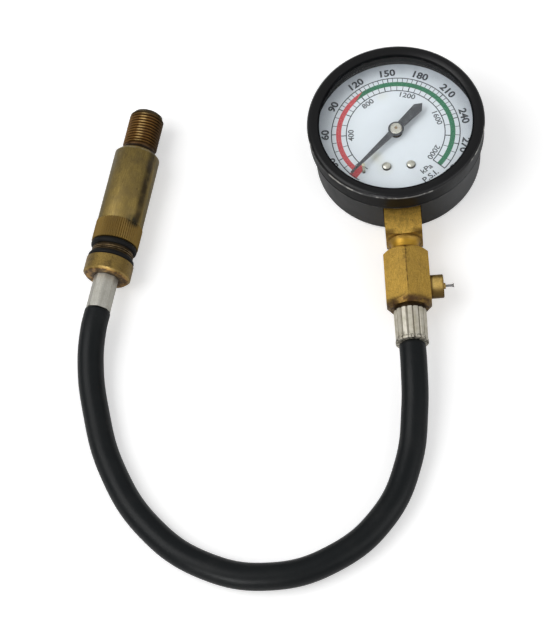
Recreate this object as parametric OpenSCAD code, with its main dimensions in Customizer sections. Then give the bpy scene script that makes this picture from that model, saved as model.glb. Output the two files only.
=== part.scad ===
// Compression tester gauge: a round dial gauge on a brass stem, a hexagon release valve,
// a crimped rubber hose and a brass spark plug adapter, lying on their backs on a flat surface.
// Millimetres, +Z out of the dial, the stem towards -Y, origin at the middle of the case's back.

/* [Gauge case] */
// Outside radius of the pressed cup
case_r = 32.6; // [31:0.1:36]
// Height of the cup's mouth above its back
case_depth = 25; // [24:0.5:30]
// Thickness of the cup's wall
case_wall = 0.8; // [0.6:0.1:1.1]
// Thickness of the cup's back
back_t = 1; // [0.8:0.1:1.4]
// Depth of the pocket that hides the screw heads in the back
pocket_depth = 3.2; // [2.8:0.1:4]

/* [Bezel and window] */
// How far the bezel stands out past the cup
bezel_overhang = 1.4; // [1.2:0.1:2.2]
// How far the window's edge lies inside the cup's outside
window_inset = 3.1; // [2.4:0.1:3.4]
// Length of the bezel's skirt down the cup
skirt_len = 3.2; // [2:0.1:6]
// Height of the bezel's round front above the window
bezel_crown = 1.6; // [1.2:0.1:2.2]
// Thickness of the window
lens_t = 1.8; // [1.5:0.1:2.4]
// Thickness of the window's gasket
gasket_t = 0.6; // [0.5:0.1:1]

/* [Dial and pointer] */
// Height of the pads on the stem's block that the dial lies on
pad_h = 0.2; // [0.2:0.1:1]
// Thickness of the dial
dial_t = 0.5; // [0.4:0.1:0.8]
// Distance of the dial screws from the middle, along the stem
dial_screw_y = 14.9; // [14.8:0.1:17]
// Half the distance between the dial screws
dial_screw_x = 4.7; // [4.2:0.1:4.9]
// Length of the pointer's blade
pointer_len = 25.6; // [20:0.2:28]
// Length of the pointer's tail
tail_len = 15.2; // [10:0.2:18]
// Direction of the pointer at zero, counter-clockwise from +X
zero_angle = 224; // [215:1:230]
// Radius of the nickel hub
hub_r = 2.4; // [2:0.1:2.8]

/* [Stem] */
// Width of the square stem
stem_w = 14; // [13:0.25:14.5]
// Length of the square stem outside the cup
stem_reach = 11.2; // [8:0.1:16]
// Visible length of the round neck
neck_len = 5.3; // [4.8:0.1:9]
// Radius of the round neck
neck_r = 5; // [4.5:0.1:5.6]

/* [Release valve] */
// Hexagon width across its flats
hex_af = 17; // [16:0.25:18]
// Length of the hexagon body
hex_len = 23.3; // [22:0.1:28]
// Radius of the round valve boss
boss_r = 4.5; // [3.8:0.1:4.8]
// Length of the boss outside the hexagon
boss_len = 4.9; // [4:0.1:7]
// Distance of the boss from the hexagon's gauge end
boss_y = 14.7; // [11:0.1:16]
// Radius of the release pin
pin_r = 0.45; // [0.4:0.05:0.6]
// Length of the release pin outside the core
pin_out = 3.1; // [2.4:0.1:5]

/* [Hose and ferrules] */
// Outside diameter of the hose
hose_d = 10; // [9.4:0.1:10.4]
// Inside diameter of the hose
hose_bore = 5.2; // [5:0.1:5.8]
// Outside radius of the near ferrule
near_ferrule_r = 6.2; // [6:0.1:7]
// Length of the near ferrule
near_ferrule_len = 12.8; // [10:0.2:16]
// Outside radius of the far ferrule
far_ferrule_r = 4.75; // [4.65:0.05:6]
// Length of the far ferrule
far_ferrule_len = 13.8; // [10:0.2:16]

/* [Plug adapter] */
// Radius of the adapter's smooth body
body_r = 9; // [8.8:0.1:11]
// Length of the adapter's smooth body
body_len = 32.6; // [26:0.2:40]
// Length of the knurled band
knurl_len = 8.5; // [6:0.25:12]
// Number of knurl ridges
knurl_count = 64; // [40:2:72]
// Radius of the plug thread
thread_r = 7; // [6:0.5:7.5]
// Length of the plug thread
thread_len = 18.3; // [12:0.1:20]
// Radius of the gas passage
passage_r = 2; // [1.5:0.1:2]
// Length of the hose end's collar
collar_len = 6.6; // [5:0.1:9]
// Thickness of the rings' cord
ring_d = 2.5; // [2:0.1:2.8]
// Lean of the adapter from the gauge's up direction
far_lean = 13; // [8:0.5:18]

/* [Gauge movement] */
// Module of the sector and pinion teeth
tooth_module = 0.32; // [0.3:0.01:0.34]
// Teeth on the pinion
pinion_teeth = 10; // [10:1:12]
// Turns of the pinion for one turn of the sector
gear_ratio = 9; // [8:1:9]
// Mean radius of the pressure tube
tube_r = 25; // [24.6:0.1:26]
// Radial thickness of the pressure tube
tube_t = 3.6; // [3:0.1:4]
// Height of the pressure tube
tube_h = 9; // [7:0.25:10]
// Length of the sector's tail
tail_arm = 5; // [4.5:0.1:5.5]
// Length of the link between its pins
link_len = 9.2; // [8.4:0.1:9.6]

/* [Hidden] */
$fn = 48;
gap = 0.05;          // close fit of threads, soldered and pressed pieces
run_gap = 0.06;      // running fit of a pivot in its hole
room = 0.3;          // free room between neighbours

// Colours
paint_black = [0.07, 0.07, 0.08];
brass = [0.72, 0.55, 0.24];
old_brass = [0.50, 0.40, 0.18];
nickel = [0.80, 0.78, 0.72];
steel = [0.62, 0.62, 0.64];
rubber = [0.08, 0.08, 0.08];
enamel = [0.92, 0.94, 0.97];
charcoal = [0.24, 0.25, 0.27];
clear = [0.85, 0.92, 0.95, 0.3];

// Heights in the gauge
stem_bottom = pocket_depth + case_wall;
stem_z = stem_bottom + stem_w / 2;
stem_top = stem_bottom + stem_w;
lens_z = case_depth + gasket_t;
lens_top = lens_z + lens_t;
dial_z = stem_top + pad_h;
dial_top = dial_z + dial_t;
case_in_r = case_r - case_wall;
dial_r = case_in_r - room;
window_r = case_r - window_inset;
bezel_r = case_r + bezel_overhang;
front_z = lens_top + bezel_crown;

// Pointer
pointer_t = 0.45;
pointer_lift = 2.6;
pointer_z = dial_top + pointer_lift;
hub_rise = 0.65;
hub_top = pointer_z + pointer_t + hub_rise;
stop_r = 21.3;
stop_lead = 6.5;
stop_top = lens_z - 1.2;
stop_pin_r = 0.6;

// Stem, valve body and near hose end, as distances from the case's middle towards -Y
square_end = case_r + stem_reach;
hex_start = square_end + neck_len;
hex_end = hex_start + hex_len;
boss_at = hex_start + boss_y;
nipple_collar = 1.3;
near_start = hex_end + nipple_collar;
near_mouth = near_start + near_ferrule_len;
nipple_thread_r = near_ferrule_r - 2.2;
thread_in = 8;
nipple_in = 6;
port_r = 1.6;
nipple_r = hose_bore / 2 - 0.15;
nipple_bore = 1.5;
hex_corner = hex_af / sqrt(3);
hex_bevel = 3;
hex_top_bevel = 2;
hex_end_r = hex_af / 2 - 0.7;

// Release valve, as distances from the stem's axis towards +X
boss_start = hex_af / 2;
boss_end = boss_start + boss_len;
core_end = boss_end + 0.7;
core_r = 2.2;
core_nose_r = 1.15;
chamber_r = core_nose_r - 0.3;
coil_r = chamber_r - gap - 0.15;
core_start = boss_end - 4.2;
pin_end = core_end + pin_out;
pin_head_r = 0.8;
pin_head_len = 0.7;
valve_travel = 1;
boss_tail = 1.6;
boss_thread_r = boss_r - 1;
pin_collar_r = 0.75;
pin_collar_t = 0.35;
seal_r = 1.75;
seal_len = 1.3;
spring_wire = 0.3;

// Plug adapter and hose end, as distances along its axis from the collar's hose face
far_x = -116;
far_y = -48.5;
ring_zone = 3.1 * ring_d;
collar_r = body_r + 0.3;
knurl_r = body_r + 0.25;
far_z = collar_r;
shank_r = knurl_r - 1.3;
ring_in_r = collar_r - 0.25 - ring_d;
knurl_at = collar_len + ring_zone;
screw_r = 6.4;
screw_len = 12;
relief_len = 2;
relief_depth = 1.1;
barb_len = far_ferrule_len - 1;
far_mouth_crush = 1;
near_mouth_crush = 0.9;

// Movement
plate_t = 1;
mv_low = stem_z - 4;
mv_floor = mv_low + plate_t;
mv_top = stem_z + 4.5;
pinion_r = tooth_module * pinion_teeth / 2;
sector_r = pinion_r * gear_ratio;
sector_teeth = pinion_teeth * gear_ratio;
arbor_r = 0.6;
sector_t = 1.6;
sector_z = stem_z - sector_t / 2;
sector_at = -41.5;
sector_dist = pinion_r + sector_r;
sector_pos = sector_dist * [cos(sector_at), sin(sector_at)];
pivot_r = 0.8;
tail_angle = -37.2;
link_angle = 67.6;
tail_pos = sector_pos + tail_arm * [cos(tail_angle), sin(tail_angle)];
tip_pos = tail_pos + link_len * [cos(link_angle), sin(link_angle)];
link_t = 0.8;
link_z = sector_z + sector_t + 0.2;
link_pin_r = 0.6;
link_hole_r = link_pin_r + 0.25;
pillar_r = 1.4;
pillar_near = 8;
pillar_far = 4.5;
pillar_turn = 50;
pillar_a = pillar_near * [-cos(sector_at), -sin(sector_at)];
pillar_b = sector_pos + pillar_far * [cos(pillar_turn), sin(pillar_turn)];
tube_start = 263;
tube_end = -10;
tube_inlet = 3.6;
block_in = 12.5;
case_screw_r = 1.5;
tube_clear = 1.7;
case_screw_y = tube_r - tube_t / 2 - case_screw_r - tube_clear;
case_screw_x = stem_w / 2 - 2.5;
tongue_in = 5;
tongue_w = 10;
mount_screw_x = 3;
mount_screw_y = 9.2;
mount_screw_r = 0.9;
mount_screw_len = 3.2;
small_head_r = 1.6;
small_head_h = 1;
pillar_screw_len = 3.6;
screw_room = 0.4;
spring_z = mv_top - 2.4;
spring_h = 0.7;
collet_r = 1.4;
spring_turns = 4;
spring_pitch = 0.85;
spring_t = 0.2;
stud_r = 0.5;
stud_dist = collet_r + gap + spring_pitch * spring_turns + spring_t + stud_r;

// Hose route between the two ferrules, lying on the surface
hose_r = hose_d / 2;
lay_z = hose_r + 0.1;
far_dir = [sin(far_lean), cos(far_lean), 0];
far_face = [far_x, far_y, far_z];
far_mouth = far_face - far_dir * far_ferrule_len;
near_face = [0, -near_start, stem_z];
near_end = [0, -near_mouth, stem_z];
route = [
    far_mouth - far_dir * 8 - [0, 0, 0.4],
    [-122.2, -83, lay_z + 2],
    [-120.5, -101, lay_z + 0.4],
    [-114, -126, lay_z],
    [-100, -149.5, lay_z],
    [-80, -165, lay_z],
    [-57, -170.5, lay_z],
    [-34, -165.5, lay_z],
    [-15, -151, lay_z],
    [-4.6, -131, lay_z + 0.6],
    [-1, -112, lay_z + 3],
    near_end - [0, 8, 0.4]
];

// Frames of the pieces that don't lie along +Z
module on_stem(y) translate([0, -y, stem_z]) rotate([90, 0, 0]) children();
module on_valve(x) translate([x, -boss_at, stem_z]) rotate([0, 90, 0]) children();
module on_adapter(s)
    translate(far_face) rotate([0, 0, -far_lean]) rotate([-90, 0, 0]) translate([0, 0, s]) children();
module at(p, z) translate([p[0], p[1], z]) children();
module ring(outer, inner, h) difference() {
    cylinder(r = outer, h = h);
    translate([0, 0, -1]) cylinder(r = inner, h = h + 2);
}

// Round bar swept along a list of points: one ring of corners for each point, with a bore if inner > 0
function unit(v) = v / norm(v);
function heading(p, i) = unit(p[min(i + 1, len(p) - 1)] - p[max(i - 1, 0)]);
function side_of(t) = unit(cross(abs(t[2]) > 0.9 ? [1, 0, 0] : [0, 0, 1], t));
function ring_at(c, t, r, n) = [
    for (k = [0 : n - 1])
        c + r * (cos(360 * k / n) * cross(t, side_of(t)) + sin(360 * k / n) * side_of(t))
];
function skin(rings, n, base, flip) = [
    for (i = [0 : rings - 2], k = [0 : n - 1], half = [0, 1])
        let (
            a = base + i * n + k,
            b = base + i * n + (k + 1) % n,
            tri = half == 0 ? [a, b, a + n] : [b, b + n, a + n]
        )
        flip ? [tri[2], tri[1], tri[0]] : tri
];
function end_ring(i, n, base, flip) = [
    for (k = [0 : n - 1], half = [0, 1])
        let (
            a = i * n + k,
            b = i * n + (k + 1) % n,
            tri = half == 0 ? [a, base + a, b] : [b, base + a, base + b]
        )
        flip ? [tri[2], tri[1], tri[0]] : tri
];
function end_fan(i, n, flip) = [
    for (k = [1 : n - 2]) flip ? [i * n + k + 1, i * n + k, i * n] : [i * n, i * n + k, i * n + k + 1]
];
module swept(path, radii, bore_r, n) {
    rings = len(path);
    outer = [for (i = [0 : rings - 1]) each ring_at(path[i], heading(path, i), radii[i], n)];
    if (bore_r > 0) {
        inner = [for (i = [0 : rings - 1]) each ring_at(path[i], heading(path, i), bore_r, n)];
        polyhedron(
            concat(outer, inner),
            concat(
                skin(rings, n, 0, true),
                skin(rings, n, rings * n, false),
                end_ring(0, n, rings * n, true),
                end_ring(rings - 1, n, rings * n, false)
            )
        );
    } else {
        polyhedron(
            outer,
            concat(skin(rings, n, 0, true), end_fan(0, n, false), end_fan(rings - 1, n, true))
        );
    }
}

// Smooth curve through the route's points
function curve(p, i, t) = let (
    a = p[max(i - 1, 0)],
    b = p[i],
    c = p[i + 1],
    d = p[min(i + 2, len(p) - 1)]
) 0.5 * (2 * b + (c - a) * t + (2 * a - 5 * b + 4 * c - d) * t * t + (3 * b - a - 3 * c + d) * t * t * t);

// Involute gear tooth: half its angle at radius r, thinned for free play
pressure_angle = 20;
tooth_play = 0.05;
function involute(a) = tan(a) * 180 / PI - a;
function tooth_half(r, pitch_r, teeth) =
    let (base_r = pitch_r * cos(pressure_angle))
    90 / teeth - tooth_play / pitch_r * 180 / PI + involute(pressure_angle)
        - (r > base_r ? involute(acos(base_r / r)) : 0);
function tooth_row(pitch_r, teeth, root_r, tip_r, places) = [
    for (k = places, flank = [-1, 1], step = [0 : 4])
        let (
            r = root_r + (tip_r - root_r) * (flank < 0 ? step : 4 - step) / 4,
            a = 360 * k / teeth + flank * tooth_half(r, pitch_r, teeth)
        )
        r * [cos(a), sin(a)]
];

// Small screw with its head's underside at z = 0
module dome_screw(head_r, head_h, shank_r, shank_len) rotate_extrude() polygon([
    [0, -shank_len], [shank_r - 0.2, -shank_len], [shank_r, -shank_len + 0.2], [shank_r, 0],
    [head_r, 0], [head_r, head_h * 0.4], [head_r * 0.8, head_h * 0.8], [head_r * 0.45, head_h],
    [0, head_h]
]);
module pan_screw(head_r, head_h, shank_r, shank_len) difference() {
    dome_screw(head_r, head_h, shank_r, shank_len);
    translate([-head_r - 1, -head_r * 0.14, head_h * 0.5]) cube([2 * head_r + 2, head_r * 0.28, head_h]);
}

// Gauge case: drawn cup with a rounded back edge, a square hole for the stem and a pressed screw pocket
back_round = 2;
pocket_r = 3.6;
module pocket_shape(r, h) {
    for (s = [-1, 1]) translate([s * case_screw_x, -case_screw_y, 0]) cylinder(r = r, h = h);
    translate([-case_screw_x, -case_screw_y - r, 0]) cube([2 * case_screw_x, 2 * r, h]);
}
module gauge_case() color(paint_black) difference() {
    union() {
        rotate_extrude($fn = 96) polygon([
            [0, 0], [case_r - back_round, 0], [case_r - back_round * 0.29, back_round * 0.29],
            [case_r, back_round], [case_r, case_depth], [case_in_r, case_depth],
            [case_in_r, back_t + back_round], [case_in_r - back_round * 0.29, back_t + back_round * 0.29],
            [case_in_r - back_round, back_t], [0, back_t]
        ]);
        pocket_shape(pocket_r + case_wall, stem_bottom);
    }
    translate([0, 0, -1]) pocket_shape(pocket_r, pocket_depth + 1);
    for (s = [-1, 1])
        translate([s * case_screw_x, -case_screw_y, 0])
            cylinder(r = case_screw_r + gap, h = stem_bottom + 1);
    translate([-stem_w / 2 - room, -case_r - 1, stem_bottom - room])
        cube([stem_w + 2 * room, case_r - case_in_r + 4, stem_w + 2 * room]);
}

// Bezel: rolled ring whose lip holds the window down and whose skirt grips the cup
lip_t = 0.5;
skirt_t = 0.7;
module bezel() color(paint_black) rotate_extrude($fn = 96) polygon([
    [window_r, lens_top], [case_r + gap, lens_top], [case_r + gap, case_depth - skirt_len],
    [case_r + gap + skirt_t, case_depth - skirt_len], [case_r + gap + skirt_t, lens_z - 0.6],
    [bezel_r - 0.3, lens_z], [bezel_r, lens_z + 0.6], [bezel_r, lens_top + 0.2],
    [bezel_r - 0.5, front_z - 0.5], [bezel_r - 1.5, front_z], [bezel_r - 2.4, front_z],
    [window_r + 0.5, lens_top + lip_t + 0.25], [window_r, lens_top + lip_t]
]);

// Window and its gasket, clamped between the cup's mouth and the bezel's lip
module lens() color(clear) translate([0, 0, lens_z]) cylinder(r = case_r - gap, h = lens_t, $fn = 96);
gasket_lip = 1.2;
module lens_gasket() color(rubber) translate([0, 0, case_depth])
    ring(case_r, case_in_r - gasket_lip, gasket_t, $fn = 96);

// Dial with holes for its screws, the stop pin and the pointer's arbor
dial_screw_r = 1;
dial_screw_len = 4.2;
dial_head_r = 1.75;
dial_head_h = 1.1;
module dial_plate() color(enamel) difference() {
    translate([0, 0, dial_z]) cylinder(r = dial_r, h = dial_t, $fn = 96);
    translate([0, 0, dial_z - 1]) cylinder(r = hub_r, h = dial_t + 2);
    at(stop_r * [cos(zero_angle + stop_lead), sin(zero_angle + stop_lead)], dial_z - 1)
        cylinder(r = stop_pin_r + gap / 2, h = dial_t + 2);
    for (s = [-1, 1])
        translate([s * dial_screw_x, -dial_screw_y, dial_z - 1])
            cylinder(r = dial_screw_r + gap, h = dial_t + 2);
}
module dial_screws() color(nickel)
    for (s = [-1, 1])
        translate([s * dial_screw_x, -dial_screw_y, dial_top])
            dome_screw(dial_head_r, dial_head_h, dial_screw_r, dial_screw_len);

// Stop pin, riveted through the dial
module stop_pin() color(steel)
    at(stop_r * [cos(zero_angle + stop_lead), sin(zero_angle + stop_lead)], dial_z - 0.5) {
        cylinder(r = stop_pin_r, h = stop_top - dial_z + 0.5);
        cylinder(r = stop_pin_r + 0.5, h = 0.5);
    }

// Pointer: flat blade with a narrow taper, a boss disc and a spade tail with a pointed end
pointer_half = 1.4;
tip_half = 0.4;
spade_half = 2.1;
spade_point = 2.6;
boss_disc_r = hub_r + 0.7;
module pointer() color(charcoal) translate([0, 0, pointer_z]) rotate([0, 0, zero_angle]) difference() {
    linear_extrude(pointer_t) union() {
        polygon([
            [pointer_len, -tip_half * 0.6], [pointer_len, tip_half * 0.6], [pointer_len - 1, tip_half],
            [0, pointer_half], [spade_point - tail_len, spade_half], [-tail_len, 0],
            [spade_point - tail_len, -spade_half], [0, -pointer_half], [pointer_len - 1, -tip_half]
        ]);
        circle(r = boss_disc_r);
    }
    translate([0, 0, -1]) cylinder(r = collet_r + gap, h = pointer_t + 2);
}

// Hub: turned bush riveted into the pointer and pressed on the arbor
module pointer_hub() color(nickel) difference() {
    rotate_extrude() polygon([
        [0, dial_top + 0.5], [collet_r, dial_top + 0.5], [collet_r, pointer_z + pointer_t],
        [hub_r, pointer_z + pointer_t], [hub_r, hub_top - 0.35], [hub_r - 0.35, hub_top], [0, hub_top]
    ]);
    translate([0, 0, dial_top]) cylinder(r = arbor_r + gap / 2, h = hub_top - dial_top + 1);
}

// Pinion arbor: shaft with the pinion cut in it, running in both movement plates
pinion_add = 0.94 * tooth_module;
root_r = pinion_r - 1.12 * tooth_module;
pinion_w = sector_t + 1.2;
module pinion_arbor() color(steel) {
    translate([0, 0, mv_low]) cylinder(r = arbor_r, h = hub_top - mv_low);
    translate([0, 0, mv_floor + room]) cylinder(r = root_r - 0.2, h = spring_z - mv_floor - 2 * room);
    translate([0, 0, stem_z - pinion_w / 2]) rotate([0, 0, sector_at]) linear_extrude(pinion_w)
        polygon(tooth_row(pinion_r, pinion_teeth, root_r, pinion_r + pinion_add, [0 : pinion_teeth - 1]));
}

// Hairspring: flat spiral from the collet on the arbor to the stud under the top plate
spiral_steps = 24;
function spiral(offset) = [
    for (i = [0 : spring_turns * spiral_steps])
        let (
            a = 360 * i / spiral_steps,
            r = collet_r + gap + spring_pitch * i / spiral_steps + offset
        )
        r * [cos(a), sin(a)]
];
function backwards(list) = [for (i = [len(list) - 1 : -1 : 0]) list[i]];
module hairspring() color(steel) translate([0, 0, spring_z]) rotate([0, 0, sector_at + 180])
    linear_extrude(spring_h) polygon(concat(spiral(spring_t), backwards(spiral(0))));
module hairspring_collet() color(brass) translate([0, 0, spring_z - 0.2])
    ring(collet_r, arbor_r + gap / 2, spring_h + 0.4);
module hairspring_stud() color(brass)
    at((stud_dist + gap) * [-cos(sector_at), -sin(sector_at)], spring_z - 0.2)
        cylinder(r = stud_r, h = mv_top - spring_z + 0.2);

// Sector: toothed rim on two arms, a hub and a tail that the link pulls
sector_add = 0.69 * tooth_module;
sector_ded = 1.3 * tooth_module;
rim_t = 2;
sector_hub_r = 2.3;
shoulder_r = 1.5;
arm_w = 1.8;
tail_w = 2.4;
sector_zero = sector_at + 180;
first_tooth = -8.5;
last_tooth = 1.5;
rim_r = sector_r - sector_ded;
rim_from = sector_zero + 360 * first_tooth / sector_teeth;
rim_to = sector_zero + 360 * last_tooth / sector_teeth;
module sector_gear() color(brass) at(sector_pos, sector_z) difference() {
    linear_extrude(sector_t) union() {
        rotate(sector_zero) polygon(concat(
            tooth_row(sector_r, sector_teeth, rim_r, sector_r + sector_add, [first_tooth : 1 : last_tooth]),
            [for (k = [last_tooth, first_tooth])
                (rim_r - rim_t) * [cos(360 * k / sector_teeth), sin(360 * k / sector_teeth)]]
        ));
        for (a = [rim_from + 3, rim_to - 3])
            rotate(a) translate([0, -arm_w / 2]) square([rim_r - rim_t / 2, arm_w]);
        circle(r = sector_hub_r);
        rotate(tail_angle) translate([0, -tail_w / 2]) square([tail_arm, tail_w]);
        translate(tail_pos - sector_pos) circle(r = tail_w / 2);
    }
    translate([0, 0, -1]) cylinder(r = pivot_r + gap / 2, h = sector_t + 2);
    at(tail_pos - sector_pos, -1) cylinder(r = link_pin_r + gap / 2, h = sector_t + 2);
}
module sector_arbor() color(steel) at(sector_pos, 0) {
    translate([0, 0, mv_low]) cylinder(r = pivot_r, h = mv_top + plate_t - mv_low);
    translate([0, 0, mv_floor + room]) cylinder(r = shoulder_r, h = sector_z - mv_floor - room);
    translate([0, 0, sector_z + sector_t])
        cylinder(r = shoulder_r, h = mv_top - room - sector_z - sector_t);
}

// Link from the sector's tail to the tube's tip, and the headed pins it turns on
link_w = 2.2;
pin_cap_r = link_hole_r + 0.35;
pin_cap_t = 0.5;
module link() color(brass) difference() {
    at(tail_pos, link_z) rotate([0, 0, link_angle]) union() {
        translate([0, -link_w / 2, 0]) cube([link_len, link_w, link_t]);
        cylinder(r = link_w / 2, h = link_t);
        translate([link_len, 0, 0]) cylinder(r = link_w / 2, h = link_t);
    }
    for (p = [tail_pos, tip_pos]) at(p, link_z - 1) cylinder(r = link_hole_r, h = link_t + 2);
}
module headed_pin(foot_z) {
    translate([0, 0, foot_z]) cylinder(r = link_pin_r, h = link_z + link_t + 0.2 - foot_z);
    translate([0, 0, link_z + link_t + 0.2]) cylinder(r = pin_cap_r, h = pin_cap_t);
}
module link_screw() color(steel) at(tail_pos, 0) headed_pin(sector_z);
module tip_pin() color(steel) at(tip_pos, 0) headed_pin(sector_z);

// Pressure tube: flattened C tube, open at both ends
tube_wall = 0.4;
module tube_section(t, h) polygon([
    for (s = [[1, 1], [-1, 1], [-1, -1], [1, -1]], c = s[0] * s[1] > 0 ? [0, 1] : [1, 0])
        [tube_r + s[0] * (t / 2 - (c == 1 ? t / 4 : 0)), stem_z + s[1] * (h / 2 - (c == 0 ? t / 4 : 0))]
]);
module tube_arc(t, h, from, to) rotate([0, 0, from])
    rotate_extrude(angle = to - from, $fn = 96) tube_section(t, h);
module bourdon_tube() color(brass) difference() {
    tube_arc(tube_t, tube_h, tube_end, tube_start);
    tube_arc(tube_t - 2 * tube_wall, tube_h - 2 * tube_wall, tube_end - 1, tube_start + 1);
}

// Tip block soldered over the tube's closed end, with a lug for the link's pin
tip_cover = 5;
tip_beyond = 6;
tip_wall = 1;
lug_w = 3;
module tip_outline(t, from, to) rotate([0, 0, from]) rotate_extrude(angle = to - from, $fn = 96)
    translate([tube_r - t / 2, stem_z - tube_h / 2 - tip_wall]) square([t, tube_h + 2 * tip_wall]);
lug_dir = tube_r * [cos(tube_end - 3), sin(tube_end - 3)] - tip_pos;
module tip_lug() at(tip_pos, sector_z) difference() {
    union() {
        cylinder(r = lug_w / 2, h = sector_t);
        rotate([0, 0, atan2(lug_dir[1], lug_dir[0])]) translate([0, -lug_w / 2, 0])
            cube([norm(lug_dir) - tube_t / 2, lug_w, sector_t]);
    }
    translate([0, 0, -1]) cylinder(r = link_pin_r + gap / 2, h = sector_t + 2);
}
module tube_tip() color(brass) difference() {
    union() {
        tip_outline(tube_t + 2 * tip_wall, tube_end - tip_beyond, tube_end + tip_cover);
        tip_lug();
    }
    tube_arc(tube_t + 2 * gap, tube_h + 2 * gap, tube_end, tube_end + tip_cover + 1);
}

// Movement plates, pillars and screws
plate_end_r = 3;
module plate_outline() hull() {
    translate(pillar_a) circle(r = plate_end_r, $fn = 32);
    translate(sector_pos) circle(r = plate_end_r, $fn = 32);
    translate(pillar_b) circle(r = plate_end_r - 0.4, $fn = 32);
}
module plate_holes(z) {
    translate([0, 0, z - 1]) cylinder(r = arbor_r + run_gap, h = plate_t + 2);
    at(sector_pos, z - 1) cylinder(r = pivot_r + run_gap, h = plate_t + 2);
    for (p = [pillar_a, pillar_b]) at(p, z - 1) cylinder(r = pillar_r / 2 + gap, h = plate_t + 2);
}
module movement_bottom_plate() color(brass) difference() {
    translate([0, 0, mv_low]) linear_extrude(plate_t) union() {
        plate_outline();
        translate([-tongue_w / 2, -block_in + room]) square([tongue_w, block_in - room]);
    }
    plate_holes(mv_low);
    for (s = [-1, 1])
        translate([s * mount_screw_x, -mount_screw_y, mv_low - 1])
            cylinder(r = mount_screw_r + gap, h = plate_t + 2);
}
module movement_top_plate() color(brass) difference() {
    translate([0, 0, mv_top]) linear_extrude(plate_t) plate_outline();
    plate_holes(mv_top);
}
module movement_pillars() color(brass) for (p = [pillar_a, pillar_b]) at(p, 0) difference() {
    union() {
        translate([0, 0, mv_low]) cylinder(r = pillar_r / 2, h = plate_t);
        translate([0, 0, mv_floor]) cylinder(r = pillar_r, h = mv_top - mv_floor);
    }
    translate([0, 0, mv_top + plate_t - pillar_screw_len - screw_room])
        cylinder(r = pillar_r / 2 + gap, h = pillar_screw_len + 1);
}
module pillar_screws() color(nickel)
    for (p = [pillar_a, pillar_b]) at(p, mv_top + plate_t)
        pan_screw(small_head_r, small_head_h, pillar_r / 2, pillar_screw_len);
module movement_screws() color(nickel)
    for (s = [-1, 1]) translate([s * mount_screw_x, -mount_screw_y, mv_floor])
        pan_screw(small_head_r, small_head_h, mount_screw_r, mount_screw_len);

// Screws through the case's back pocket into the stem's block
case_head_r = 2.8;
case_head_h = 1.7;
case_screw_len = 5.2;
module case_screws() color(steel) for (s = [-1, 1])
    translate([s * case_screw_x, -case_screw_y, pocket_depth]) rotate([180, 0, 0])
        pan_screw(case_head_r, case_head_h, case_screw_r, case_screw_len);

// Socket: square block and stem with turned corners, pads for the dial, a tongue for the movement,
// a coved neck and passages
corner_cut = 2.4;
cove_len = 3.4;
cove_r = stem_w / 2 - 0.2;
cove = [
    for (a = [0 : 15 : 90])
        [cove_r - (cove_r - neck_r) * sin(a), cove_len * (1 - cos(a))]
];
module socket() color(brass) difference() {
    union() {
        intersection() {
            translate([-stem_w / 2, -square_end, stem_bottom]) cube([stem_w, square_end - block_in, stem_w]);
            on_stem(0) rotate_extrude($fn = 96) polygon([
                [0, 0], [stem_w, 0], [stem_w, square_end - corner_cut], [stem_w / 2, square_end],
                [0, square_end]
            ]);
        }
        translate([-tongue_w / 2, -block_in, stem_bottom])
            cube([tongue_w, block_in - tongue_in, mv_low - stem_bottom]);
        for (s = [-1, 1]) translate([s * dial_screw_x, -dial_screw_y, stem_top])
            cylinder(r = stem_w / 2 - dial_screw_x, h = dial_z - stem_top);
        on_stem(square_end) cylinder(r = neck_r, h = neck_len + thread_in);
        on_stem(square_end) rotate_extrude() polygon(concat([[0, 0]], cove, [[0, cove_len]]));
    }
    on_stem(tube_r - 1) cylinder(r = port_r, h = hex_start + thread_in);
    translate([-tube_inlet, -tube_r, stem_z]) rotate([0, 90, 0]) cylinder(r = port_r - 0.4, h = tube_inlet);
    tube_arc(tube_t + 2 * gap, tube_h + 2 * gap, 200, tube_start);
    for (s = [-1, 1]) {
        translate([s * dial_screw_x, -dial_screw_y, dial_top - dial_screw_len - screw_room])
            cylinder(r = dial_screw_r + gap, h = dial_screw_len + 1);
        translate([s * case_screw_x, -case_screw_y, pocket_depth])
            cylinder(r = case_screw_r + gap, h = case_screw_len + 1);
        translate([s * mount_screw_x, -mount_screw_y, mv_floor - mount_screw_len - screw_room])
            cylinder(r = mount_screw_r + gap, h = mount_screw_len + 1);
    }
}

// Valve body: hexagon with turned bevels, screwed on the neck, with a side port and a hose nipple thread
module valve_body() color(brass) on_stem(hex_start) difference() {
    intersection() {
        rotate([0, 0, 30]) cylinder(r = hex_corner, h = hex_len, $fn = 6);
        rotate_extrude() polygon([
            [0, 0], [hex_end_r + 0.2, 0], [hex_corner + 0.1, hex_top_bevel],
            [hex_corner + 0.1, hex_len - hex_bevel], [hex_end_r - 0.6, hex_len], [0, hex_len]
        ]);
    }
    translate([0, 0, -1]) cylinder(r = neck_r + gap, h = thread_in + 1 + gap);
    cylinder(r = port_r, h = hex_len);
    translate([0, 0, hex_len - nipple_in - gap]) cylinder(r = nipple_thread_r + gap, h = nipple_in + 1);
    translate([0, 0, boss_y]) rotate([0, 90, 0]) cylinder(r = port_r, h = hex_af);
    translate([core_start - boss_tail - valve_travel, 0, boss_y]) rotate([0, 90, 0])
        cylinder(r = boss_thread_r + gap, h = hex_af);
}

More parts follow.
